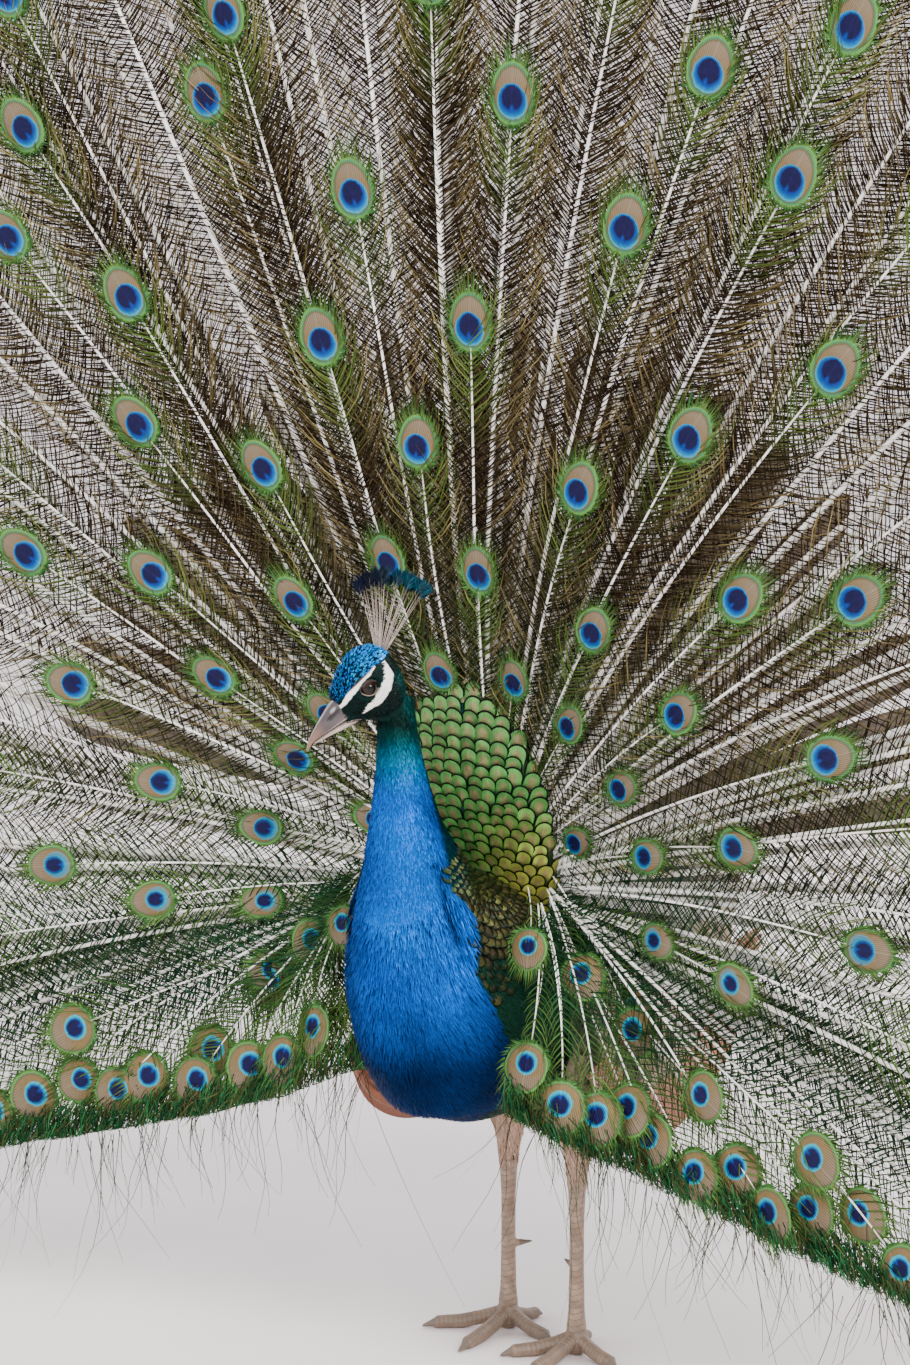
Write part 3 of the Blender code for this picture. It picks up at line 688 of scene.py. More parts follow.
def vane_lines():
    """Fine barb lines that fan out from a point on the shaft below a vane."""
    def build(tree, given):
        parts = tree.parts(given["Place"])
        down = tree.math("ADD", parts["Y"], given["Below"])
        angle = tree.math("ARCTAN2", parts["X"], down)
        wave = tree.math("SINE", tree.math("MULTIPLY", angle, given["Count"]))
        ridge = tree.ramp(tree.math("ABSOLUTE", parts["X"]), 0.015, 0.06, 1.0, 0.0)
        return {"Height": tree.math("ADD", tree.math("MULTIPLY", wave, 0.5), ridge)}
    inputs = {"Place": ("Vector", (0.0, 0.0, 0.0)), "Below": ("Float", 1.6), "Count": ("Float", 90.0)}
    return node_group("Vane lines", inputs, {"Height": "Float"}, build)


def worn_horn():
    """Fine growth lines and darker worn patches of horn and scutes."""
    def build(tree, given):
        here = tree.here()
        patches = tree.noise(given["Patches"], here, 4.0)["Fac"]
        grain = tree.noise(given["Grain"], here, 5.0)["Fac"]
        dark = tree.ramp(patches, 0.38, 0.66, given["Wear"], 0.0)
        colour = tree.blend(dark, given["Tint"], given["Worn"])
        return {"Color": colour, "Height": grain, "Rough": tree.ramp(grain, 0.3, 0.7, 0.36, 0.62)}
    inputs = {"Tint": ("Color", (0.4, 0.3, 0.2, 1.0)), "Worn": ("Color", (0.1, 0.07, 0.05, 1.0)),
              "Patches": ("Float", 60.0), "Grain": ("Float", 700.0), "Wear": ("Float", 0.6)}
    return node_group("Worn horn", inputs, {"Color": "Color", "Height": "Float", "Rough": "Float"}, build)


def new_material(name, **shader_values):
    """A material with its node tree, its Principled shader and that shader's own values."""
    material = bpy.data.materials.new(name)
    material.use_nodes = True
    shader = material.node_tree.nodes["Principled BSDF"]
    tree = Tree(material.node_tree)
    for label, value in shader_values.items():
        tree.put(shader.inputs[label.replace("_", " ").title().replace("Ior", "IOR")], value)
    return material, tree, shader


def bump(tree, shader, height, strength, distance):
    node = tree.add("Bump", {"Height": height, "Strength": strength, "Distance": distance})
    tree.put(shader.inputs["Normal"], node.outputs["Normal"])


def plumage_material(name, broad, fine, depth, **shader_values):
    """Plumage whose colour is the tint of each strand, varied by noise."""
    found = bpy.data.materials.get(name)
    if found:
        return found
    material, tree, shader = new_material(name, **shader_values)
    tint = tree.group(plume_tint(), Tint=tree.attribute("tint"), Broad=broad, Fine=fine, Depth=depth)
    tree.put(shader.inputs["Base Color"], tint["Color"])
    return material


def lined(tree, shader, colour, place, below, count, strength, distance):
    """Gives a vane its colour with fine barb lines in shade and relief."""
    height = tree.group(vane_lines(), Place=place, Below=below, Count=count)["Height"]
    tree.put(shader.inputs["Base Color"], tree.scaled(colour, tree.ramp(height, -0.5, 0.6, 0.78, 1.08)))
    bump(tree, shader, height, strength, distance)


def vane_material(name, below, count, relief, **shader_values):
    """A closed vane: tinted, with fine barb lines in relief."""
    material, tree, shader = new_material(name, **shader_values)
    tint = tree.group(plume_tint(), Tint=tree.attribute("tint"), Broad=30.0, Fine=500.0, Depth=0.2)
    lined(tree, shader, tint["Color"], tree.attribute("place", "Vector"), below, count, 0.5, relief)
    return material


def oval_mask(tree, place, middle, size, soft):
    """One inside an oval of the place attribute, nought outside."""
    away = tree.vector("SUBTRACT", place, middle)
    away = tree.vector("MULTIPLY", away, (1 / size[0], 1 / size[1], 0.0))
    return tree.ramp(tree.vector("LENGTH", away), 1 - soft, 1 + soft, 1.0, 0.0)


def eye_spot_material():
    """The train's eye: a dark heart in a blue ring, on bronze, within pale green rings."""
    material, tree, shader = new_material("train_eye", roughness=0.45, metallic=0.25,
                                          specular_ior_level=0.15)
    place = tree.attribute("place", "Vector")
    parts = tree.parts(place)
    noise = tree.noise(260.0, tree.here(), 3.0)
    shift = tree.vector("SUBTRACT", noise["Color"], (0.5, 0.5, 0.5))
    wobble = tree.vector("ADD", place, tree.vector("MULTIPLY", shift, (0.10, 0.10, 0.0)))
    wobble = tree.vector("MULTIPLY", wobble, (1.0, 1.0, 0.0))

    def oval(high_middle, high_size, low_middle, low_size, soft):
        """An oval that goes from its shape in the fan to its shape in the lowest feathers."""
        first = oval_mask(tree, wobble, (0, high_middle, 0), high_size, soft)
        second = oval_mask(tree, wobble, (0, low_middle, 0), low_size, soft)
        change = tree.math("MULTIPLY", parts["Z"], tree.math("SUBTRACT", second, first))
        return tree.math("ADD", first, change)

    bronze = tree.blend(noise["Fac"], (0.138, 0.090, 0.036), (0.200, 0.138, 0.060))
    bronze = tree.blend(tree.ramp(parts["Y"], -0.1, 0.8, 0.0, 0.55), bronze, (0.185, 0.150, 0.120))
    colour = (0.030, 0.105, 0.018)
    for shape, paint in (
            ((0.0, (1.10, 1.09), 0.02, (1.09, 1.06), 0.05), (0.13, 0.27, 0.050)),
            ((0.0, (1.01, 1.00), 0.0, (1.02, 1.00), 0.06), (0.030, 0.190, 0.085)),
            ((0.0, (0.93, 0.92), 0.0, (0.98, 0.97), 0.06), (0.100, 0.075, 0.028)),
            ((0.0, (0.85, 0.85), 0.0, (0.92, 0.92), 0.06), bronze),
            ((-0.27, (0.72, 0.60), -0.20, (0.54, 0.50), 0.05), (0.000, 0.33, 0.42)),
            ((-0.25, (0.68, 0.56), -0.19, (0.46, 0.43), 0.09), tree.attribute("tint")),
            ((-0.20, (0.62, 0.50), -0.18, (0.42, 0.39), 0.20), (0.000, 0.030, 0.210))):
        colour = tree.blend(oval(*shape), colour, paint)
    notch = tree.math("SUBTRACT", 1.0, oval(-0.60, (0.10, 0.20), -0.54, (0.09, 0.16), 0.5))
    heart = tree.math("MULTIPLY", oval(-0.15, (0.50, 0.42), -0.17, (0.34, 0.34), 0.10), notch)
    violet = tree.blend(noise["Fac"], (0.001, 0.001, 0.018), (0.008, 0.006, 0.060))
    lined(tree, shader, tree.blend(heart, colour, violet), place, 1.9, 150.0, 0.45, 0.0006)
    return material


def scale_material(name, bronze_share):
    """Scales of the back: bronze middle, ring in the scale's tint, thin dark rim, painted shade at the
    covered root and along the barb lines.
    """
    material, tree, shader = new_material(name, roughness=0.29, metallic=0.5,
                                          specular_ior_level=0.15)
    place, tint = tree.attribute("place", "Vector"), tree.attribute("tint")
    parts = tree.parts(place)
    far = tree.vector("LENGTH", tree.flat(parts["X"], tree.math("MAXIMUM", parts["Y"], 0.0)))
    height = tree.group(vane_lines(), Place=place, Below=1.2, Count=70.0)["Height"]
    noise = tree.noise(130.0, tree.here(), 3.0)["Fac"]
    colour = tree.blend(bronze_share, tint, (0.30, 0.165, 0.105))
    colour = tree.blend(tree.ramp(far, 0.25, 0.60), colour, tint)
    # Painted shade: darker towards the root, where each scale lies beneath its neighbours.
    colour = tree.blend(tree.ramp(parts["Y"], -0.95, -0.30, 0.85, 0.0), colour, (0.008, 0.020, 0.008))
    colour = tree.blend(tree.ramp(far, 0.77, 0.86), colour, (0.001, 0.002, 0.001))
    # The grooves of the barb lines are painted darker as painted shade; the noise gives a random change
    # of tone.
    gain = tree.math("MULTIPLY", tree.ramp(noise, 0.3, 0.7, 0.78, 1.18),
                     tree.ramp(height, -0.5, 0.6, 0.85, 1.08))
    tree.put(shader.inputs["Base Color"], tree.scaled(colour, gain))
    bump(tree, shader, height, 0.5, 0.0005)
    return material


def horn_material(name, worn, patches, grain, wear, relief, **shader_values):
    """Horn, claw or scute in its tint, with growth lines and wear."""
    material, tree, shader = new_material(name, **shader_values)
    horn = tree.group(worn_horn(), Tint=tree.attribute("tint"), Worn=worn, Patches=patches,
                      Grain=grain, Wear=wear)
    tree.put(shader.inputs["Base Color"], horn["Color"])
    tree.put(shader.inputs["Roughness"], horn["Rough"])
    bump(tree, shader, horn["Height"], 0.4, relief)
    return material


def eyeball_material():
    """A dark brown iris round a black pupil, under a wet cornea."""
    material, tree, shader = new_material("eye_wet", roughness=0.05, specular_ior_level=0.25)
    parts = tree.parts(tree.attribute("place", "Vector"))
    out = tree.math("ABSOLUTE", parts["X"])
    flat = tree.flat(parts["Y"], parts["Z"])
    radius = tree.vector("LENGTH", flat)
    streaks = tree.noise(9.0, tree.vector("NORMALIZE", flat), 4.0)["Fac"]
    iris = tree.blend(tree.ramp(streaks, 0.3, 0.7), (0.005, 0.0020, 0.0015), (0.024, 0.009, 0.005))
    iris = tree.blend(tree.ramp(radius, 0.66, 0.80), iris, (0.012, 0.008, 0.006))
    colour = tree.blend(tree.ramp(radius, 0.40, 0.45), (0.001, 0.001, 0.001), iris)
    colour = tree.blend(tree.ramp(out, 0.0, 0.2), (0.05, 0.03, 0.02), colour)
    tree.put(shader.inputs["Base Color"], colour)
    return material


# ------------------------------------------------------------------------- skin
SKIN_NODES = ("trunk", "neck", "head", "back", "rump", "undertail", "thigh_left", "thigh_right",
              "wing_left", "wing_right")


def coat_depth(points):
    """How far the skin lies inside the coat's outside."""
    z = points[:, 2]
    depth = between(0.0048, 0.0022, step(0.42, 0.50, z))
    depth = between(depth, 0.0007, step(0.565, 0.59, z))
    return between(depth, 0.0022, step(0.24, 0.21, z))


def joined(label, nodes, grow, voxel, rounds):
    """One closed mesh over CAD nodes, grown a little and with its creases smoothed."""
    bm = bmesh.new()
    for name in nodes:
        bm.from_mesh(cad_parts[name].data)
    bmesh.ops.remove_doubles(bm, verts=bm.verts, dist=1e-5)
    bm.normal_update()
    for vert in bm.verts:
        vert.co += vert.normal * grow
    mesh = bpy.data.meshes.new(label)
    bm.to_mesh(mesh)
    bm.free()
    obj = link(label, mesh)
    remesh = obj.modifiers.new("join", "REMESH")
    remesh.mode, remesh.voxel_size = "VOXEL", voxel * 1.0
    smooth = obj.modifiers.new("smooth", "SMOOTH")
    smooth.factor, smooth.iterations = 0.5, rounds
    bpy.context.view_layer.update()
    found = bpy.data.meshes.new_from_object(
        obj.evaluated_get(bpy.context.evaluated_depsgraph_get()))
    bpy.data.objects.remove(obj)
    return found


def read(mesh, key):
    """The coordinates or the normals of a mesh's points."""
    values = np.empty(len(mesh.vertices) * 3, np.float32)
    mesh.vertices.foreach_get(key, values)
    return values.reshape(-1, 3).astype(float)


def dress(mesh, tints, material):
    """Gives a joined mesh its tints and its one material."""
    mesh.shade_smooth()
    add_attributes(mesh, tints, np.zeros((len(tints), 3)))
    mesh.materials.clear()
    mesh.materials.append(material)


def refine_head(bm, level, rounds):
    """Splits the faces of the head finely enough for its folds and stripes."""
    for _ in range(rounds):
        faces = [face for face in bm.faces if face.calc_center_median().z > level]
        edges = {edge for face in faces for edge in face.edges}
        bmesh.ops.subdivide_edges(bm, edges=list(edges), cuts=1, use_grid_fill=True)


def head_relief(local):
    """Brow, cheek and eye-hollow relief of the head's skin, outward in metres."""
    y, z = local[:, 1], local[:, 2]
    away = np.hypot((y - EYE_AT[1]) / 0.0088, (z - EYE_AT[2]) / 0.0072)
    hollow = -0.0027 * step(1.18, 0.80, away)
    fold = 0.0009 * np.exp(-((away - 1.30) / 0.14) ** 2)
    wrinkle = 0.00018 * np.sin(away * 22) * step(2.2, 1.2, away)
    bare = 0.0004 * step(-0.0005, 0.0008, bare_face(local))
    grain = 0.00012 * ripple(local, 0.0011)
    beside = step(0.004, 0.010, np.abs(local[:, 0]))
    return (hollow + fold + wrinkle + bare) * beside + grain


def lid_rings(sign):
    """Centre lines of the lid folds and of the ring round them, with their tints, in head axes."""
    turn = np.linspace(0, 2 * math.pi, 49)[:-1]
    for grow, out, radius, tint in ((1.07, 0.0030, 0.00060, LID_GREY),
                                    (1.22, 0.0018, 0.00065, (0.035, 0.032, 0.028))):
        y = 0.0067 * grow * np.cos(turn) * (1 + 0.10 * np.cos(turn) ** 2)
        z = 0.0052 * grow * np.sin(turn) - 0.0006 * np.cos(turn)
        rise = np.sqrt(np.clip(1 - np.hypot(y, z) ** 2 / EYE_RADIUS ** 2, 0.02, 1)) * EYE_RADIUS
        x = EYE_AT[0] + 0.75 * rise + 0.35 * out
        pale = (np.sin(turn) < -0.2) * (grow < 1.10)
        yield (stacked(sign * x, EYE_AT[1] + y, EYE_AT[2] + z), radius,
               mix(tint, (0.20, 0.155, 0.125), pale))


def add_lids(bm, tints):
    """Lid folds round both eyes, as part of the skin."""
    sides = 8
    turn = 2 * math.pi * np.arange(sides)[:, None] / sides
    extra = []
    for _, sign in SIDES:
        for line, radius, colour in lid_rings(sign):
            ahead = unit(np.roll(line, -1, 0) - np.roll(line, 1, 0))
            out = unit(line - np.array((0.0, EYE_AT[1], EYE_AT[2])))
            up = unit(np.cross(ahead, out))
            ring = out[:, None] * np.cos(turn) + up[:, None] * np.sin(turn)
            points = from_head(line[:, None] + ring * radius) + SHIFT
            rows = [[bm.verts.new(point) for point in row] for row in points]
            for row, following in zip(rows, rows[1:] + rows[:1]):
                for k in range(sides):
                    m = (k + 1) % sides
                    bm.faces.new((row[k], row[m], following[m], following[k])).smooth = True
            extra.append(np.repeat(colour, sides, axis=0))
    return np.vstack([tints] + extra)


def make_skin(sizes):
    mesh = joined("flesh", SKIN_NODES, 0.0006, sizes.skin_grain, 6)
    bm = bmesh.new()
    bm.from_mesh(mesh)
    refine_head(bm, 0.578, 2)
    bm.to_mesh(mesh)
    bm.free()
    mesh.update()
    points, normals = read(mesh, "co"), read(mesh, "normal")
    bird = points - SHIFT
    local = to_head(bird)
    on_head = step(0.568, 0.585, bird[:, 2])
    out = head_relief(local) * on_head + body_relief(bird) * (1 - on_head) - coat_depth(bird)
    points = points + normals * out[:, None]
    mesh.vertices.foreach_set("co", points.astype(np.float32).ravel())
    bm = bmesh.new()
    bm.from_mesh(mesh)
    # Painted shade: the skin beneath the crown's sparse flecks is made almost black, so the gaps between
    # them read as shade.
    under = 1 - 0.97 * crown_share(local) * on_head
    tints = add_lids(bm, markings(bird) * under[:, None])
    bmesh.ops.recalc_face_normals(bm, faces=bm.faces)
    bm.to_mesh(mesh)
    bm.free()
    dress(mesh, tints, plumage_material("skin", 60.0, 900.0, 0.22, roughness=0.6,
                                        specular_ior_level=0.04))
    settle(link("skin", mesh), "plumage_blue", *SKIN_NODES)


# ------------------------------------------------------------------- body plumage
def fewer(count):
    return count


def plume_coat(name, slot, surface, v_ends, count, seed, shape, depth, lift, material,
               weight=None, inside=None, towards_start=True, keep=None, dark=0.75, light=1.18,
               tint=None, stray=0.12, relief=None):
    """Pointed tufts over a stretch of the body; shape gives length and half width along it."""
    v, a = scatter(surface, v_ends, fewer(count), seed, weight)
    base = lay(surface, v, a, inside, towards_start)
    if keep is not None:
        chosen = keep(base[0])
        v, a, *base = (part[chosen] for part in (v, a, *base))
    if relief is not None:
        base = (base[0] + base[1] * relief(base[0])[:, None], *base[1:])
    rand = np.random.default_rng(seed + 50)
    n = len(v)
    length, half_width = shape(v)
    length = length * rand.uniform(0.75, 1.2, n)
    tints = markings(base[0]) if tint is None else np.broadcast_to(tint, (n, 3))
    tints = tints * rand.uniform(dark, light, (n, 1))
    coat = Coat()
    tufts(coat, base, length, half_width, depth, rand.uniform(0.2, 1.0, n) * lift,
          tints * 0.75, tints * 1.12, map_of(v, a, v_ends), seed, stray)
    settle(coat.make(name, [material]), slot)


def make_body_coat(sizes):
    blue = plumage_material("plume_blue", 26.0, 620.0, 0.35, roughness=0.45, metallic=0.35,
                            specular_ior_level=0.04)
    down = plumage_material("plume_down", 30.0, 300.0, 0.3, roughness=0.8)

    def close(v):
        length = np.interp(v, (3, 8, 11, 13, 15, 17), (0.0155, 0.0135, 0.011, 0.0090, 0.0072, 0.0058))
        half_width = np.interp(v, (3, 8, 11, 14, 17), (9e-4, 8e-4, 7e-4, 6e-4, 4.5e-4))
        return length * sizes.tuft_scale, half_width * sizes.tuft_scale

    def loose(v):
        return np.full(len(v), 0.022), np.full(len(v), 0.0014)

    plume_coat("coat_neck", "plumage_blue", body_surface, (10.8, 17.25), 18500, 11, close,
               0.0016, 0.0006, blue, relief=body_relief)
    plume_coat("coat_breast", "plumage_blue", body_surface, (4.2, 11.2), 34000, 12, close,
               0.0030, 0.0010, blue, relief=body_relief,
               weight=lambda points: 1.0 - 0.75 * step(-0.16, -0.10, points[:, 1]),
               keep=lambda points: (past_blue(points) < 0.004) | (points[:, 2] < 0.39))
    plume_coat("coat_belly", "plumage_dark", body_surface, (0.15, 4.4), 9000, 13, loose,
               0.0030, 0.0020, down, stray=0.2)
    plume_coat("coat_undertail", "plumage_dark", undertail_surface, (0.02, 0.98), 9000, 14, loose,
               0.004, 0.004, down, stray=0.25)
    plume_coat("coat_rump", "plumage_brown", rump_surface, (0.02, 0.98), 6000, 15, loose,
               0.004, 0.003, down, inside=np.array((0.0, -0.14, 0.45)), stray=0.2)


def make_thighs():
    down = plumage_material("plume_buff", 40.0, 500.0, 0.25, roughness=0.75)

    def short(v):
        return np.interp(v, (0, 4), (0.015, 0.0085)), np.interp(v, (0, 4), (8e-4, 4.5e-4))

    for side, (sign, leg_y, _) in LEGS.items():
        plume_coat("coat_thigh_" + side, "plumage_buff", thigh_surface(sign, leg_y), (0.0, 3.97),
                   3600, 20 + sign, short, 0.0012, 0.0008, down,
                   towards_start=False, tint=BUFF, dark=0.65, light=1.15, stray=0.2)


# ------------------------------------------------------------------------- head
def make_head_coat():
    satin = plumage_material("plume_head", 60.0, 1500.0, 0.35, roughness=0.38, metallic=0.35,
                             specular_ior_level=0.15)
    v, a = scatter(head_surface, HEAD_COAT_ENDS, fewer(14000), 31)
    base = lay(head_surface, v, a)
    local = base[0]
    crown = crown_share(local)
    rand = np.random.default_rng(32)
    eye_away = np.hypot((local[:, 1] - EYE_AT[1]) / 0.0098, (local[:, 2] - EYE_AT[2]) / 0.0078)
    bare = (eye_away < 1.12) | (bare_face(local) > -0.0001)
    chosen = ~(bare & (np.abs(local[:, 0]) > 0.006))
    chosen &= rand.random(len(v)) < np.where(crown > 0.5, 0.24, 1.0)
    v, a, crown, *base = (part[chosen] for part in (v, a, crown, *base))
    n = len(v)
    length = between(0.0022, 0.0025, crown) * rand.uniform(0.7, 1.2, n)
    length *= np.interp(v, (0, 5.5, 7), (1.25, 0.85, 0.6))
    half_width = between(0.00030, 0.00072, crown) * np.interp(v, (0, 7), (1.1, 0.7))
    tints = head_marks(base[0])
    tints = tints * between(rand.uniform(0.4, 1.7, n), rand.uniform(0.55, 1.5, n), crown)[:, None]
    teal = rand.random(n) < 0.25
    tints = np.where((teal & (crown > 0.5))[:, None], tints * np.array((1.0, 1.5, 0.9)), tints)
    coat = Coat()
    tufts(coat, base, length, half_width, 0.0003, 0.0005 * (1 + crown),
          tints * between(0.25, 0.05, crown)[:, None], tints * between(1.2, 1.5, crown)[:, None],
          map_of(v, a, HEAD_COAT_ENDS), 33, 0.15)
    settle(coat.make("coat_head", [satin], on_head=True), "plumage_blue")


def make_eyes():
    material = eyeball_material()
    v = np.linspace(0.03, 0.97, 30)[:, None] * math.pi
    a = np.linspace(0, 2 * math.pi, 41)[:-1]
    maps = stacked(v / math.pi, a / (2 * math.pi))[None]
    for side, sign in SIDES:
        ball = stacked(sign * np.cos(v), np.sin(v) * np.cos(a), sign * np.sin(v) * np.sin(a))
        swell = 1 + 0.05 * step(0.80, 0.98, ball[..., 0:1] * sign)
        points = ball * EYE_RADIUS * swell + np.array((sign * EYE_AT[0], EYE_AT[1], EYE_AT[2]))
        coat = Coat()
        coat.sheets(points[None], np.zeros(3), maps, ball[None], wrap=True, caps=(True, True))
        settle(coat.make("eyeball_" + side, [material], on_head=True), "eye", "eye_" + side)


def bill_half(ribs, lip):
    """A bill half in head axes: rings along its ribs, narrow at the biting edge."""
    v = np.linspace(0, len(ribs) - 1, 70)[:, None]
    a = np.linspace(0, 2 * math.pi, 49)[:-1]
    y, low, high, half = along_rows(ribs, v)
    z = (low + high) / 2 + (high - low) / 2 * np.sign(np.cos(a)) * np.abs(np.cos(a)) ** 0.85
    flat = np.sign(lip) * np.cos(a) < 0
    z = np.where(flat, (low if lip > 0 else high) * 0.55 + z * 0.45, z)
    return stacked(half * np.sin(a), y, z)


def nostril(points, normal_x):
    """Pulls a slit and its hollow into the side of the upper bill."""
    y, z = points[..., 1], points[..., 2]
    along, across = (y + 0.0402) / 0.0066, (z - 0.0008 - 0.32 * (y + 0.0402)) / 0.0034
    hollow = np.exp(-(along ** 2 + across ** 2) * 1.3)
    slit = np.exp(-((along * 0.95) ** 2 + ((across + 0.20) * 1.9) ** 2) * 1.4)
    flap = np.exp(-(((along - 0.25) * 1.3) ** 2 + ((across - 0.65) * 2.0) ** 2) * 1.5)
    beside = step(0.15, 0.5, np.abs(normal_x))
    push = (-0.0011 * hollow - 0.0017 * slit + 0.0010 * flap) * beside
    return push, slit * beside, flap * beside


def make_bill():
    horn = horn_material("bill_horn", (0.10, 0.080, 0.075), 90.0, 1200.0, 0.30, 0.00025,
                         specular_ior_level=0.3)
    for name, node, ribs, lip in (("bill_top", "bill_upper", BILL_UPPER, 1),
                                  ("bill_under", "bill_lower", BILL_LOWER, -1)):
        points = bill_half(ribs, lip)
        out = unit(points - points.mean(1, keepdims=True))
        tints = mix((0.050, 0.041, 0.046), (0.215, 0.112, 0.075), step(-0.046, -0.066, points[..., 1]))
        edge = ((0.58, 0.48, 0.43), 0.7 * step(0.20, 0.04, np.abs(out[..., 2] + 0.66 * lip)))
        if lip > 0:
            push, slit, flap = nostril(points, out[..., 0])
            points = points + out * push[..., None]
            # Painted highlight: a pale line along the ridge of the upper bill.
            culmen_highlight = 0.6 * step(0.955, 0.995, out[..., 2])
            tints = painted(tints, edge, ((0.62, 0.58, 0.58), culmen_highlight),
                            ((0.50, 0.46, 0.46), 0.75 * step(0.45, 0.90, flap)),
                            # Painted shade: the nostril's slit is painted nearly black inside its hollow.
                            ((0.006, 0.005, 0.005), step(0.08, 0.40, slit)))
        else:
            tints = painted(tints, ((0.56, 0.43, 0.37), 0.75), edge)
        maps = stacked(np.linspace(0, 1, points.shape[0])[:, None], np.linspace(0, 1, points.shape[1]))
        coat = Coat()
        coat.sheets(points[None], tints[None], maps[None], wrap=True, caps=(True, True))
        settle(coat.make(name, [horn], on_head=True), "horn", node)


def make_crest():
    """Thin shafts that end in joined spatulas of short barbs."""
    count, n = 23, 44
    rand = np.random.default_rng(41)
    share = np.linspace(-1, 1, count)
    angle = CREST_TILT + CREST_SPREAD * share + rand.normal(0, 0.012, count)
    reach = 0.0625 * (1 - 0.08 * share ** 2) * rand.uniform(0.955, 1.03, count)
    way = unit(stacked(rand.normal(0, 0.075, count), np.sin(angle), np.cos(angle)))
    base = stacked(rand.normal(0, 0.0014, count), CREST_BASE[0] + 0.0090 + 0.0038 * share,
                   CREST_BASE[1] - 0.0010 - 0.0020 * share)
    t = np.linspace(0, 1, 7)
    bow = (0.004 * share[:, None] * (t ** 2 - t))[..., None] * np.array((0.0, 1.0, 0.0))
    path = base[:, None] + way[:, None] * (reach[:, None] * t)[..., None] + bow
    maps = stacked(np.linspace(0.02, 0.98, count), 0.5)
    radius = np.interp(t, (0, 1), (0.00030, 0.00015)) * np.ones((count, 1))
    pale = mix((0.40, 0.32, 0.28), (0.07, 0.06, 0.06), step(0.60, 0.95, t))
    shafts = Coat()
    tubes(shafts, path, radius, pale[:, None], maps)

    place = np.linspace(0, 1, n)[:, None]
    root = base[:, None] + way[:, None] * reach[:, None, None] * (0.885 + 0.115 * place)
    side = unit(np.cross(way, np.array((1.0, 0.0, 0.0))))[:, None]
    sign = np.where(np.arange(n) % 2, 1.0, -1.0)[:, None]
    length = (0.0046 + 0.0030 * np.sin(math.pi * place)) * rand.uniform(0.8, 1.2, (count, n, 1))
    out = unit(way[:, None] * (0.75 + 0.9 * place) + side * sign
               + rand.normal(0, 0.16, (count, n, 3)))
    u = np.linspace(0, 1, 4)[:, None]
    barbs = (root[:, :, None] + out[:, :, None] * length[:, :, None] * u
             + way[:, None, None] * 0.0016 * u ** 2)
    front = step(-0.5, 0.5, -share)[:, None]
    tint = mix((0.001, 0.026, 0.042), (0.001, 0.003, 0.011), front)
    tint = tint * rand.uniform(0.4, 1.6, (count, n, 1))
    tint = tint.reshape(-1, 1, 1, 3) * np.linspace(0.7, 1.5, 4)[:, None, None]
    facing = unit(rand.normal(0, 0.35, (count * n, 1, 3)) + np.array((1.0, 0, 0)))
    width = np.broadcast_to(np.array((0.00042, 0.00050, 0.00036, 0.00008)), (count * n, 4))
    roots = (maps[:, None] + stacked(0.0, place[:, 0] * 0.4 - 0.2)).reshape(-1, 2)
    tips = Coat()
    ribbons(tips, barbs.reshape(-1, 4, 3), facing, width, tint, roots)
    quill = plumage_material("quill_pale", 80.0, 900.0, 0.25, roughness=0.45)
    satin = plumage_material("plume_crest", 90.0, 1500.0, 0.25, roughness=0.4, metallic=0.3,
                             specular_ior_level=0.15)
    settle(shafts.make("crest_shafts", [quill], on_head=True), "plumage_blue")
    settle(tips.make("crest_tips", [satin], on_head=True), "plumage_blue", "crest")


# ------------------------------------------------------------------------ shield
def shield_point(x, z):
    """The raised back's outside, with normals, at x and z."""
    def surface(x, z):
        share = np.hypot(x / SHIELD_HALF[0], (z - SHIELD_MID_Z) / SHIELD_HALF[1])
        rise = SHIELD_BULGE * np.sqrt(np.clip(1 - share ** 2, 0.0, 1))
        return stacked(x, fan_y(x, z - ROOT_Z) - 0.003 - rise, z)
    e = 5e-4
    here = surface(x, z)
    along, up = surface(x + e, z) - surface(x - e, z), surface(x, z + e) - surface(x, z - e)
    normal = unit(np.cross(along, up))
    return here, np.where(normal[..., 1:2] > 0, -normal, normal)


def scale_tints(x, z, rand):
    """The green, golden or dark ring of each scale by its place on the raised back; the golden scales are
    partly their own colour and partly painted sheen on the lit side, and the bird's right side has
    painted shade.
    """
    up = (z - SHIELD_MID_Z) / SHIELD_HALF[1]
    gold_and_lit_sheen = step(0.0, 0.055, x) * step(0.35, -0.25, up) * step(-1.0, -0.65, up)
    tint = painted(
        (0.070, 0.290, 0.060),
        ((0.105, 0.270, 0.075), 0.85 * step(0.15, 0.8, up)),
        # Golden scales low on the bird's left, the lit side: partly their own colour, partly painted
        # sheen.
        ((0.46, 0.46, 0.060), 0.9 * gold_and_lit_sheen),
        # Painted shade: duller green on the bird's right, the side turned from the light.
        ((0.080, 0.165, 0.045), 0.6 * step(-0.01, -0.06, x) * step(0.5, -0.2, up)),
        ((0.025, 0.040, 0.008), 0.85 * step(-0.30, -0.75, up) * step(0.065, 0.035, x)))
    return tint * rand.uniform(0.60, 1.30, (len(x), 1))


def on_face(lie, normal):
    """The ways lie, turned to run along the face that the normals stand on."""
    return unit(lie - normal * np.sum(lie * normal, -1, keepdims=True))


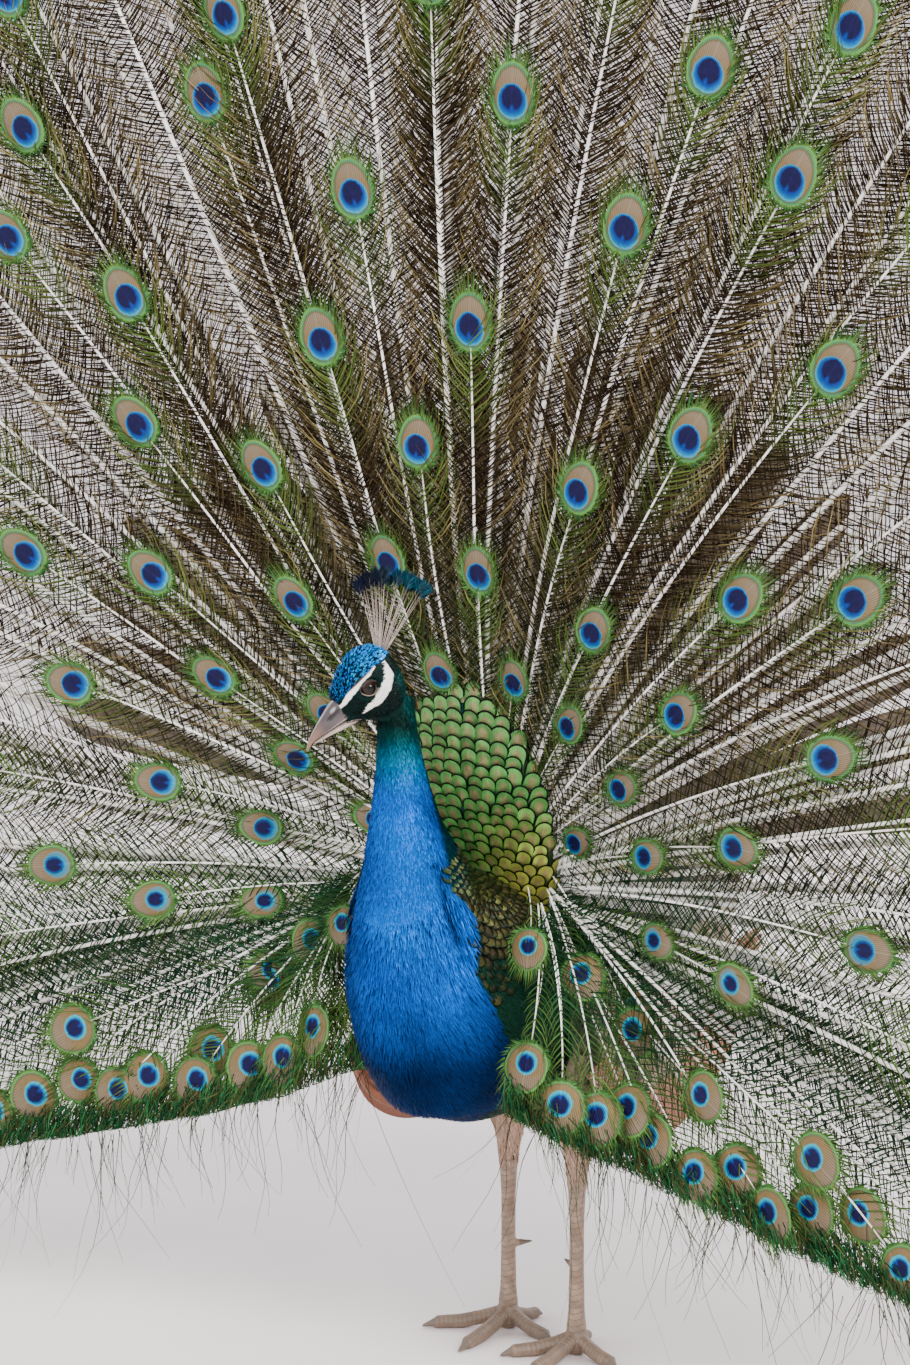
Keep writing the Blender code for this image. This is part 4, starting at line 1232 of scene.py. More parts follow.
def make_shield(sizes):
    rand = np.random.default_rng(51)
    xs, zs, widths = [], [], []
    z, row = SHIELD_MID_Z - SHIELD_HALF[1] * 0.95, 0
    while z < SHIELD_MID_Z + SHIELD_HALF[1]:
        up = (z - SHIELD_MID_Z) / SHIELD_HALF[1]
        width = sizes.scale_width * np.interp(up, (-1, 0, 1), (0.58, 0.80, 1.05))
        span = (SHIELD_HALF[0] + 0.001) * math.sqrt(max(1 - up ** 2, 0.0))
        count = max(int(2 * span / (width * 0.84)), 1)
        for k in range(count + 1):
            x = (k - count / 2 + (0.5 if row % 2 else 0.0)) * width * 0.84
            if abs(x) <= span + 0.002:
                xs.append(x + rand.normal(0, 0.0009))
                zs.append(z - 0.012 * (x / 0.08) ** 2 + rand.normal(0, 0.0008))
                widths.append(width * rand.uniform(0.90, 1.12))
        z += width * 0.66
        row += 1
    x, z, width = np.array(xs), np.array(zs), np.array(widths)
    here, normal = shield_point(x, z)
    lie = on_face(stacked(x, 0.0, z - (SHIELD_MID_Z - 0.16)), normal)
    lie = unit(lie + np.cross(lie, normal) * rand.normal(0, 0.06, (len(x), 1)))
    lift = width * rand.uniform(0.12, 0.20, len(x))
    coat = Coat()
    scales(coat, (here, normal, lie), width * 1.75, width * 0.55, 0.0035, lift, 0.24,
           scale_tints(x, z, rand), stacked(x / 0.2 + 0.5, (z - 0.28) / 0.36))
    settle(coat.make("shield_scales", [scale_material("shield_scale", 0.55)]), "plumage_scale")


def make_mantle():
    """Small dark bronze scales from the base of the neck over both shoulders, with painted glints on a
    few of them.
    """
    rand = np.random.default_rng(55)
    vs, as_ = [], []
    v, row = 5.0, 0
    while v < 11.6:
        tall = np.linalg.norm(body_surface(np.array(v + 0.5), np.array(1.2))
                              - body_surface(np.array(v - 0.5), np.array(1.2)))
        for j in range(-26, 27):
            vs.append(v + rand.normal(0, 0.02))
            as_.append((j + 0.5 * (row % 2)) * 0.105 + rand.normal(0, 0.008))
        v += 0.0066 / tall
        row += 1
    v, a = np.array(vs), np.array(as_)
    here, normal, lie = lay(body_surface, v, a)
    past = past_blue(here)
    floor = np.interp(here[:, 1], (-0.23, -0.214, -0.138), (0.352, 0.358, 0.405))
    chosen = (past > -0.0005) & (here[:, 2] > floor) & (here[:, 2] < 0.515)
    v, a, here, normal, lie = (part[chosen] for part in (v, a, here, normal, lie))
    n = len(v)
    lie = on_face(unit(lie + np.array((0.0, 0.0, -0.35))), normal)
    width = 0.0098 * rand.uniform(0.9, 1.12, n) * np.interp(here[:, 2], (0.45, 0.51), (1.0, 0.7))
    # Painted glints: a few scales at random are made much lighter and golden, standing in for light
    # catching them.
    tint = mix((0.010, 0.018, 0.006), (0.085, 0.095, 0.020), rand.random(n) ** 3.0)
    tint = mix(tint, (0.020, 0.075, 0.028), 0.7 * step(0.43, 0.46, here[:, 2]) * rand.random(n))
    tint = tint * between(0.55, 1.0, step(0.40, 0.46, here[:, 2]))[:, None]
    here = here + normal * body_relief(here)[:, None]
    coat = Coat()
    scales(coat, (here, normal, lie), width * 1.8, width * 0.56, 0.0030, width * 0.16, 0.22, tint,
           map_of(v, a, (5, 12)))
    settle(coat.make("mantle_scales", [scale_material("mantle_scale", 0.12)]), "plumage_scale")


# ------------------------------------------------------------------------- train
# Rings of eyes over the fan: reach, angle of one of them, step in degrees.
EYE_RINGS = (
    (0.112, 2.0, 30.0), (0.190, -2.0, 19.0), (0.280, -10.5, 21.3), (0.382, -1.0, 22.5),
    (0.470, -11.5, 22.0), (0.570, -5.0, 23.0), (0.665, 7.5, 22.5), (0.735, -30.0, 17.0),
    (0.810, 2.0, 14.0), (0.885, 9.0, 12.5), (0.960, 3.0, 12.0), (1.035, 9.0, 11.25),
    (1.100, 3.5, 11.25))
# Where shafts of the lowest feathers come out, by how far out their eyes lie.
LOW_START = np.array(((0.09, 0.086, -0.176, 0.424), (0.16, 0.086, -0.166, 0.428),
                      (0.30, 0.082, -0.150, 0.426), (0.60, 0.070, -0.128, 0.422),
                      (1.15, 0.050, -0.121, 0.420)))
# Short feathers over the flank: start, eye, size of the eye.
FLANK_FEATHERS = (((0.068, -0.166, 0.436), (0.088, -0.200, 0.392), 0.70),
                  ((0.078, -0.152, 0.432), (0.130, -0.184, 0.371), 0.78),
                  ((0.076, -0.138, 0.440), (0.175, -0.180, 0.330), 0.84))
# The row of eyes along the lower edge: distance from the body's middle, height above the edge.
ROW_EYES = {
    -1: ((0.099, 0.047), (0.128, 0.030), (0.168, 0.031), (0.221, 0.052), (0.231, 0.030),
         (0.283, 0.042), (0.312, 0.036), (0.352, 0.050), (0.396, 0.042)),
    1: ((0.103, 0.044), (0.135, 0.027), (0.164, 0.031), (0.186, 0.046), (0.206, 0.032),
        (0.248, 0.023), (0.282, 0.041), (0.315, 0.022), (0.348, 0.038), (0.392, 0.052),
        (0.431, 0.026)),
}
EYE_SPAN = 0.75                     # an eye's half width as a share of its half length
LOW_EYE_SPAN = 0.94                 # the same for the rounder eyes of the lowest feathers
SHAFT_STEPS = 24
ROOT_OFF = 0.045                    # how far from the fan's middle its shafts come out


def on_fan(s, t, phi, lift):
    """Points s along and t across a feather at phi from upright, lifted off the fan's face."""
    x = s * np.sin(phi) + t * np.cos(phi)
    high = s * np.cos(phi) - t * np.sin(phi)
    return stacked(x, fan_y(x, high) - lift, ROOT_Z + high)


def layer_of(reach, s):
    """How far forward a feather lies at s from its root: shorter ones in front of longer ones."""
    return 0.0015 + 0.040 * (1 - reach / TRAIN_REACH) * step(0.03, 0.32, s)


class Feathers:
    """Train feathers: points of each shaft, its facing, its eye's size and how low it lies."""

    KEYS = ("path", "out", "size", "phi", "low")

    def __init__(self, path, out, size, phi, low):
        self.path, self.out, self.size, self.phi, self.low = path, unit(out), size, phi, low
        self.length = np.linalg.norm(np.diff(path, axis=1), axis=-1).sum(1)
        self.ahead = unit(np.gradient(path, axis=1))

    def __add__(self, other):
        return Feathers(*(np.concatenate((getattr(self, key), getattr(other, key)))
                          for key in self.KEYS))

    def chosen(self, which):
        return Feathers(*(getattr(self, key)[which] for key in self.KEYS))

    def at(self, index, s):
        """Points at s along the shafts, with the ways ahead, across and out."""
        share = np.clip(s / self.length[index], 0, 1) * SHAFT_STEPS
        i = np.minimum(share.astype(int), SHAFT_STEPS - 1)
        point = mix(self.path[index, i], self.path[index, i + 1], share - i)
        ahead = unit(mix(self.ahead[index, i], self.ahead[index, i + 1], share - i))
        out = unit(self.out[index] - ahead * np.sum(self.out[index] * ahead, -1, keepdims=True))
        return point, ahead, np.cross(ahead, out), out

    def beside(self, index, s, forth, aside, lift):
        """Points forth, aside and lifted from s along the shafts, with each shaft's way out."""
        point, ahead, across, out = self.at(index, s)
        more = (slice(None),) + (None,) * (forth.ndim - 1)
        steps = zip((ahead, across, out), (forth, aside, lift))
        return point[more] + sum(way[more] * far[..., None] for way, far in steps), out


def fan_feathers():
    """Feathers that stand straight out from the fan's middle, and those that end in no eye."""
    rand = np.random.default_rng(61)
    rows = []
    for reach, first, gap in EYE_RINGS:
        for j in range(-20, 20):
            angle = first + j * gap + rand.uniform(-0.09, 0.09) * gap
            rho, phi = reach * rand.uniform(0.975, 1.025), math.radians(angle)
            x, z = rho * math.sin(phi), ROOT_Z + rho * math.cos(phi)
            if abs(angle) < 146 and z > low_edge(x) + 0.080 and (reach > 0.15 or abs(angle) < 75):
                rows.append((rho, phi, np.interp(rho, (0.1, 0.3, 0.5), (0.66, 0.86, 1.0))))
    for angle in np.concatenate((np.arange(-98, -50, 7.0), np.arange(-50, 50, 4.5),
                                 np.arange(50, 99, 7.0))):
        rows.append((rand.uniform(1.165, 1.195), math.radians(angle + rand.uniform(-1.5, 1.5)), 0.0))
    reach, phi, size = np.array(rows).T
    t = np.linspace(0, 1, SHAFT_STEPS + 1)
    s = ROOT_OFF + (reach - ROOT_OFF)[:, None] * t
    bend = (rand.normal(0, 0.012, len(reach)) * reach)[:, None] * (s / reach[:, None]) ** 2
    sag = 0.035 * reach * np.sin(phi) * rand.uniform(0.4, 1.2, len(reach))
    lift = layer_of(reach[:, None], s) + rand.normal(0, 0.0008, len(reach))[:, None]
    path = on_fan(s, bend - sag[:, None] * 4 * t * (1 - t), phi[:, None], lift)
    out = stacked(0.22 * np.sin(phi), -np.ones(len(phi)), 0.22 * np.cos(phi))
    low = step(math.radians(58), math.radians(112), np.abs(phi))
    return Feathers(path, out, size, phi, low)


def curved_feathers(start, end, bulge, size, sign):
    """Feathers along bent shafts from start to end; bulge pushes their middle out and forward."""
    run = end - start
    aside = unit(stacked(-run[:, 2], 0 * run[:, 0], run[:, 0])) * sign[:, None]
    middle = (start + end) / 2 + aside * bulge[:, None] + np.array((0.0, -0.012, 0.0))
    t = np.linspace(0, 1, SHAFT_STEPS + 1)[None, :, None]
    path = (start[:, None] * (1 - t) ** 2 + middle[:, None] * 2 * t * (1 - t) + end[:, None] * t ** 2)
    near = step(0.30, 0.10, np.abs(end[:, 0]))
    out = stacked(sign * 0.10 * near, -np.ones(len(sign)), 0.05 * near - 0.1)
    phi = np.arctan2(end[:, 0], end[:, 2] - ROOT_Z)
    return Feathers(path, out, size, phi, np.ones(len(sign)))


def low_feathers():
    """The lowest feathers, whose eyes stand in a row along the train's lower edge."""
    rand = np.random.default_rng(63)
    starts, ends, sizes, signs = [], [], [], []
    for sign, places in ROW_EYES.items():
        further = np.arange(places[-1][0] + 0.04, 1.02, 0.042)
        further = stacked(further + rand.uniform(-0.01, 0.01, len(further)),
                          rand.uniform(0.022, 0.052, len(further)))
        filling = np.array(((0.100, 0.075), (0.125, 0.070)))
        if sign < 0:
            filling = np.array(((0.086, 0.040), (0.090, 0.065), (0.093, 0.090), (0.100, 0.050),
                                (0.104, 0.078), (0.116, 0.060), (0.121, 0.092), (0.150, 0.080)))
        eyes = np.vstack((places, further))
        for k, (x, above) in enumerate(np.vstack((eyes, filling))):
            z = low_edge(x) + above
            near = float(step(0.24, 0.08, x)) if sign > 0 or k < len(eyes) else 0.0
            start = np.array([np.interp(x, LOW_START[:, 0], LOW_START[:, k]) for k in (1, 2, 3)])
            end = np.array((x, float(fan_y(x, z - ROOT_Z)) - 0.012 - 0.030 * near, z))
            if k % 2 and x > 0.18:
                start = mix(LOW_START[-1, 1:], start, np.array(0.25))
            starts.append(start * (sign, 1, 1) + rand.normal(0, 0.0035, 3))
            ends.append(end * (sign, 1, 1))
            sizes.append(rand.uniform(0.83, 0.94) if k < len(eyes) else 0.0)
            signs.append(sign)
        for start, end, size in FLANK_FEATHERS:
            starts.append(np.array(start) * (sign, 1, 1))
            ends.append(np.array(end) * (sign, 1, 1))
            sizes.append(size)
            signs.append(sign)
    start, end, sign = np.array(starts), np.array(ends), np.array(signs, float)
    length = np.linalg.norm(end - start, axis=1)
    bulge = np.minimum(0.085 * length, 0.045) * rand.uniform(0.5, 1.2, len(length))
    bulge += 0.010 * step(0.20, 0.10, np.abs(end[:, 0]))
    return curved_feathers(start, end, bulge, np.array(sizes), sign)


def fan_map(points):
    """Roots on the fan spread flat."""
    return stacked(points[..., 0] / 2.6 + 0.5, points[..., 2] / 1.75 + 0.01)


# The straw colour here is used only for painted glints of light on the barbs.
OLIVE, GLINT_STRAW, GREEN = (0.011, 0.0063, 0.0030), (0.27, 0.21, 0.085), (0.006, 0.036, 0.012)
GOLD_GREEN, DEEP_GREEN = (0.060, 0.115, 0.020), (0.003, 0.028, 0.018)


def barb_tints(rand, left, low, inner, size, u):
    """Colours of barbs that leave their shafts left before the eye, along their length u, with painted
    glints on some strands.
    """
    n = len(left)
    near = step(0.120, 0.030, left) * (size > 0)
    tint = mix(OLIVE, GREEN, np.clip(0.55 * low + 0.35 * inner, 0, 1))
    tint = mix(tint, DEEP_GREEN, 0.4 * low * rand.random(n))
    tint = mix(tint, GOLD_GREEN, 0.70 * near)
    tint = tint * rand.uniform(0.55, 1.5, (n, 1))
    # Painted glints: along their outer part some strands turn pale straw, those low on the fan
    # golden-green, standing in for light catching them.
    painted_glint = np.clip(rand.normal(0.12, 0.30, n), 0, 0.95)[:, None] * step(0.1, 0.7, u)[None]
    glint_colour = mix(GLINT_STRAW, GOLD_GREEN, 0.7 * low)
    return mix(tint[:, None], glint_colour[:, None], painted_glint * (1 - 0.6 * low[:, None]))


def shaft_radius(length, left):
    """Half the width, at left before its tip, of a shaft that is length long."""
    thick = np.interp(length, (0.06, 0.3, 0.7, 1.2), (0.0006, 0.0014, 0.0023, 0.0029))
    return 0.00042 + thick * np.clip(left / 0.60, 0, 1) ** 0.65


def barb_places(feathers, gap, rand):
    """Where barbs leave their shafts: feather, distance along it and side."""
    index, s, sign = [], [], []
    reach = np.abs(feathers.path[:, -1, 0])
    for k, (length, size) in enumerate(zip(feathers.length, feathers.size)):
        near = gap * np.interp(length, (0.2, 0.6, 1.2), (0.92, 1.0, 1.20))
        if feathers.low[k] < 1:
            grid = np.linspace(0.03, length - 0.016 * size, 40)
            upright = step(math.radians(62), math.radians(26), abs(feathers.phi[k]))
            share = np.interp(length - grid, (0.10, 0.42, 0.70, 0.95),
                              (1.0, between(0.52, 0.80, upright), between(0.20, 0.27, upright), 0.03))
            share *= between(0.74, 1.12, upright) * np.interp(length, (0.3, 0.6, 1.0), (0.66, 0.85, 1.15))
        else:
            grid = np.linspace(0.006, length - 0.016 * size, 40)
            share = np.full(len(grid), np.interp(reach[k], (0.10, 0.22, 0.32), (0.52, 0.55, 0.36)))
            if feathers.phi[k] < 0:
                share = share * np.interp(reach[k], (0.20, 0.30), (1.5, 1.0))
        count = np.cumsum(share) * (grid[1] - grid[0]) / near
        for way in (-1.0, 1.0):
            places = np.interp(np.arange(0.5 + count[0], count[-1]), count, grid)
            s.append(places + rand.uniform(-0.25, 0.25, len(places)) * near)
            index.append(np.full(len(places), k))
            sign.append(np.full(len(places), way))
    return np.concatenate(index), np.concatenate(s), np.concatenate(sign)


def strands(coat, path, facing, width, tints):
    """Loose strands of the train, kept just above the floor."""
    path[..., 2] = np.maximum(path[..., 2], 0.003)
    ribbons(coat, path, facing, np.broadcast_to(width, path.shape[:2]), tints, fan_map(path[:, 0]))


def lay_barbs(coat, feathers, sizes, seed):
    """The loose barbs on both sides of each shaft."""
    rand = np.random.default_rng(seed)
    index, s, sign = barb_places(feathers, sizes.barb_gap * (1), rand)
    n = len(s)
    size, low, phi, whole = (part[index] for part in (feathers.size, feathers.low, feathers.phi,
                                                      feathers.length))
    reach, left, tail = np.abs(feathers.path[index, -1, 0]), whole - s, size == 0
    u = np.array((0.0, 0.32, 0.68, 1.0))
    own = rand.normal(0, 3.5, len(feathers.size))[index]
    stray = np.where(rand.random(n) < 0.05, rand.normal(0, 16, n), 0)
    start = np.interp(left, (0.0, 0.04, 0.12, 0.3), (44, 52, 58, 62)) + own + rand.normal(0, 2.5, n)
    start = np.where(tail, 62 - 20 * step(0.08, 0, left), start)
    turn = -np.interp(left, (0.0, 0.05, 0.15), (58, 46, 32)) + rand.normal(0, 4.5, n) + stray
    start, turn = np.radians(start)[:, None], np.radians(np.where(tail, -12.0, turn))[:, None]

    curved = (low >= 1) & (reach < 0.26)
    inner_side = curved & (sign * np.sign(phi) > 0)
    inner_cut = np.where(phi > 0, np.interp(reach, (0.09, 0.15), (0.42, 0.9)), 1.1)
    length = sizes.barb_length * (0.45 + 0.55 * step(0.02, 0.26, s)) * rand.uniform(0.82, 1.12, n)
    length *= np.interp(whole, (0.06, 0.2, 0.4), (0.45, 0.75, 1.0))
    length *= np.where(curved, np.interp(s, (0.0, 0.26), (1.5, 1.0)), 1.0)
    length *= np.interp(left, (0.20, 0.55, 0.95), (1.0, 0.86, 0.50))
    length *= np.where(inner_side, inner_cut, 1.0)
    angle = start + turn * u
    forth = (np.sin(angle) - np.sin(start)) / turn * length[:, None]
    aside = -(np.cos(angle) - np.cos(start)) / turn * length[:, None]

    radius = shaft_radius(whole, left)
    crossing = (sign == rand.choice((-1.0, 1.0), len(feathers.size))[index]) & (rand.random(n) < 0.55)
    aside = aside - np.where(crossing, radius + 0.0012, -0.5 * radius)[:, None] * (1 - u) ** 2
    lift = (rand.normal(0.0022, 0.0030, n)[:, None] * u ** 1.5
            + np.where(crossing, radius + 0.0012, 0.0)[:, None] * (1 - u) ** 2)
    path, out = feathers.beside(index, s, forth, sign[:, None] * aside, lift)
    facing = unit(out + rand.normal(0, 0.35, (n, 3)))[:, None]
    width = sizes.barb_width / 2 * np.interp(u, (0, 0.6, 1), (1.0, 0.8, 0.25))
    middle = np.hypot(path[:, 0, 0], path[:, 0, 2] - ROOT_Z)
    tint = barb_tints(rand, left, low, step(0.34, 0.12, middle), size, u)
    strands(coat, path, facing, width, tint[:, :, None])


def lay_quills(coat, feathers):
    rand = np.random.default_rng(90)
    left = feathers.length[:, None] * (1 - np.linspace(0, 1, SHAFT_STEPS + 1))
    radius = shaft_radius(feathers.length[:, None], left)
    white = np.array((0.86, 0.82, 0.77)) * rand.uniform(0.84, 1.06, (len(left), 1, 1))
    tint = mix(white, (0.20, 0.15, 0.08), 0.85 * step(0.07, 0.0, left))
    path = feathers.path + feathers.out[:, None] * 0.0004
    tubes(coat, path, radius, tint[:, :, None], fan_map(path[:, 0]))


def eye_halves(feathers, sizes):
    """Half the length of each eye's oval, and its half width as a share of that."""
    return sizes.eye_length / 2 * feathers.size, np.where(feathers.low >= 1, LOW_EYE_SPAN, EYE_SPAN)


def lay_eyes(coat, feathers, sizes):
    """The closed oval vanes of the eyes, each with its own island on the bake map."""
    rand = np.random.default_rng(71)
    n = len(feathers.size)
    ring = np.array((0.06, 0.28, 0.48, 0.66, 0.82, 0.96, 1.06, 1.14))[:, None]
    turn = np.linspace(0, 2 * math.pi, 41)[:-1]
    ragged = 1 + rand.uniform(-0.07, 0.07, (n, 1, 40)) * step(0.98, 1.14, ring)
    x, y = ring * np.sin(turn) * ragged, ring * np.cos(turn) * ragged
    long, span = (part[:, None, None] for part in eye_halves(feathers, sizes))
    wide = x * (1 - 0.10 * y) * span
    twist = rand.normal(0, 0.08, (n, 1, 1))
    forth = (y * np.cos(twist) + wide * np.sin(twist)) * long
    aside = (wide * np.cos(twist) - y * np.sin(twist)) * long
    lift = (0.0022 + rand.uniform(0, 0.0012, (n, 1, 1)) - 0.0016 * (x ** 2 + y ** 2)
            + wide * rand.normal(0, 0.0022, (n, 1, 1)))
    points, _ = feathers.beside(np.arange(n), feathers.length, forth, aside, lift)
    deep = np.clip(0.95 * feathers.low + 0.6 * step(0.35, 0.12, feathers.length), 0, 1)
    tint = mix((0.000, 0.15, 0.38), (0.000, 0.29, 0.40), deep) * rand.uniform(0.8, 1.15, (n, 1))
    side = int(math.ceil(math.sqrt(n)))
    spot = stacked(np.arange(n) % side, np.arange(n) // side) + 0.5
    maps = (spot[:, None, None] + stacked(x, y) * (0.40 / 1.3)) / side
    places = stacked(x, y, feathers.low[:, None, None])
    coat.sheets(points, tint[:, None, None], maps, places, wrap=True, caps=(True, False))


def lay_halos(coat, feathers, sizes):
    """The loose green barbs that stand out round each eye."""
    rand = np.random.default_rng(72)
    eyes, m = len(feathers.size), 110
    index = np.repeat(np.arange(eyes), m)
    n = len(index)
    turn = np.tile(np.linspace(-math.pi, math.pi, m, endpoint=False), eyes) + rand.normal(0, 0.04, n)
    long, span = (part[index] for part in eye_halves(feathers, sizes))
    aside = np.sin(turn) * 1.05 * span * long * (1 - 0.1 * np.cos(turn))
    forth = np.cos(turn) * 1.05 * long
    top = 0.5 + 0.5 * np.cos(turn)
    lean = 0.50 + 0.45 * np.abs(np.sin(turn))
    way = unit(stacked(np.sin(turn), np.cos(turn) + lean)) + rand.normal(0, 0.06, (n, 2))
    length = (0.0085 + 0.0105 * top ** 1.5) * feathers.size[index] * rand.uniform(0.55, 1.35, n)
    u = np.linspace(0, 1, 4)
    run = length[:, None] * u
    forth = forth[:, None] + way[:, 1:2] * run
    aside = aside[:, None] + way[:, 0:1] * run - 0.22 * np.sin(turn)[:, None] * run * u
    lift = 0.0018 + rand.normal(0, 0.0020, (n, 1)) * u
    path, out = feathers.beside(index, feathers.length[index], forth, aside, lift)
    tint = mix((0.060, 0.140, 0.026), (0.030, 0.120, 0.040), rand.random(n))
    tint = mix(tint, (0.13, 0.14, 0.035), 0.5 * top * rand.random(n)) * rand.uniform(0.45, 1.5, (n, 1))
    tint = mix(tint[:, None], tint[:, None] * np.array((0.30, 0.22, 0.22)), u)
    facing = unit(out + rand.normal(0, 0.3, (n, 3)))[:, None]
    strands(coat, path, facing, 0.00042 * np.array((1.15, 1.0, 0.8, 0.2)), tint[:, :, None])


def lay_band(coat, rand):
    """The close dark green band along the train's lower edge."""
    n = 16000
    sign = rand.choice((-1.0, 1.0), n)
    x = np.where(sign > 0, 0.088, 0.040) + 1.04 * rand.random(n) ** 1.2
    lift = step(0.140, 0.085, x) * (sign < 0) * np.clip(rand.uniform(-0.5, 1.0, n), 0, 1)
    z = low_edge(x) + 0.034 - 0.026 * rand.random(n) ** 0.8 + 0.060 * lift
    length = rand.uniform(0.012, 0.028, n) * (1 + 0.5 * lift)
    slope = np.arctan(-0.49 * np.exp(-x / 0.52))
    heading = slope - 0.75 + rand.normal(0, 0.30, n)
    u = np.linspace(0, 1, 4)
    heading = heading[:, None] + rand.normal(-0.35, 0.20, n)[:, None] * u
    run = length[:, None] * u
    across = sign[:, None] * (x[:, None] + run * np.cos(heading))
    high = z[:, None] + run * np.sin(heading)
    trim = low_edge(across) + 0.002 + 0.0025 * ripple(stacked(across, high, 0.0), 0.02)
    high = np.maximum(high, trim + rand.exponential(0.0015, (n, 1)) * (1 - u))
    forward = fan_y(x, z - ROOT_Z) - 0.010 - 0.030 * step(0.24, 0.08, x)
    path = stacked(across, forward[:, None] + rand.normal(0, 0.005, (n, 1)), high)
    facing = unit(rand.normal(0, 0.30, (n, 3)) + np.array((0.0, -1.0, -0.2)))[:, None]
    tint = mix((0.004, 0.030, 0.012), (0.022, 0.110, 0.035), rand.random(n) ** 1.5)
    tint = mix(tint, (0.050, 0.045, 0.016), 0.8 * (rand.random(n) < 0.35))
    tint = mix(tint * rand.uniform(0.4, 1.5, (n, 1)), GOLD_GREEN, 0.8 * (lift > 0.15))
    strands(coat, path, facing, 0.00048 * np.array((1.0, 1.0, 0.7, 0.2)), tint[:, None, None])


def lay_wisps(coat, rand):
    """The fine wisps that hang below the train's lower edge in loose groups."""
    n = 900
    x = rand.uniform(0.06, 1.10, n)
    group = np.round(x * 26 + rand.normal(0, 0.3, n))
    sign = rand.choice((-1.0, 1.0), n)
    top = low_edge(x) + rand.uniform(-0.012, 0.02, n)
    length = np.minimum(rand.gamma(2.0, 0.024, n) + 0.015, top - 0.006)[:, None]
    u = np.linspace(0, 1, 8)
    curl = rand.normal(0, 0.15, (n, 1)) * u ** 2 + 0.03 * np.sin(
        u * rand.uniform(3, 8, (n, 1)) + rand.uniform(0, 6, (n, 1)))
    way = (np.sin(group * 2.4) * 0.30 + rand.normal(0, 0.12, n))[:, None]
    across = (sign * x)[:, None] + length * (way * u + curl)
    high = top[:, None] - length * u * (1 - 0.10 * u)
    y = (fan_y(x, top - ROOT_Z) - 0.008)[:, None] + length * (rand.normal(0, 0.15, (n, 1)) * u)
    facing = unit(rand.normal(0, 0.4, (n, 3)) + np.array((0.0, -1.0, 0.0)))[:, None]
    tint = mix((0.045, 0.034, 0.020), (0.015, 0.055, 0.028), rand.random(n) ** 1.5)
    strands(coat, stacked(across, y, high), facing, 0.00042 * np.interp(u, (0, 1), (1, 0.35)),
            tint[:, None, None])


def lay_fringe(coat):
    """The band and the wisps of the train's lower edge."""
    rand = np.random.default_rng(73)
    lay_band(coat, rand)
    lay_wisps(coat, rand)


# Pieces of the train's barbs: name, angles in degrees, the CAD sectors that each covers.
TRAIN_PARTS = (
    ("right_low", -181, -100, ("train_right_6", "train_right_5")),
    ("right_side", -100, -56, ("train_right_4", "train_right_3")),
    ("right_high", -56, -28, ("train_right_2",)),
    ("right_top", -28, 0, ("train_right_1",)),
    ("left_top", 0, 28, ("train_middle", "train_left_1")),
    ("left_high", 28, 56, ("train_left_2",)),
    ("left_side", 56, 100, ("train_left_3", "train_left_4")),
    ("left_low", 100, 181, ("train_left_5", "train_left_6")),
)


def make_train(sizes):
    feathers = fan_feathers() + low_feathers()
    eyed = feathers.chosen(feathers.size > 0)
    barb = plumage_material("plume_train", 14.0, 240.0, 0.30, roughness=0.45, metallic=0.15,
                            specular_ior_level=0.02)
    quill = plumage_material("quill_white", 60.0, 700.0, 0.14, roughness=0.35)
    angle = np.degrees(feathers.phi)
    for index, (part, low, high, nodes) in enumerate(TRAIN_PARTS):
        coat = Coat()
        lay_barbs(coat, feathers.chosen((angle >= low) & (angle < high)), sizes, 80 + index)
        settle(coat.make("train_barbs_" + part, [barb]), "plumage_train", *nodes)
    for name, material, build, given in (
            ("train_quills", quill, lay_quills, (feathers,)),
            ("train_eyes", eye_spot_material(), lay_eyes, (eyed, sizes)),
            ("train_halos", barb, lay_halos, (eyed, sizes)),
            ("train_fringe", barb, lay_fringe, ())):
        coat = Coat()
        build(coat, *given)
        settle(coat.make(name, [material]), "plumage_train")


# ----------------------------------------------------------------- tail and wings
def vane_row(coat, points, tints, places, t, line, radii, shaft_tints):
    """Closed vanes side by side on the bake map, with shafts that thin out along t."""
    n, _, columns = points.shape[:3]
    across = np.linspace(-0.42, 0.42, columns)
    middles = (np.arange(n) + 0.5)[:, None, None]
    coat.sheets(points, tints, stacked((middles + across) / n, t[:, None] * 0.98 + 0.01), places)
    radius = np.interp(t, (0, 1), radii) * np.ones((n, 1))
    tubes(coat, line, radius, shaft_tints, stacked(middles[:, 0, 0] / n, 0.5), slot=1)


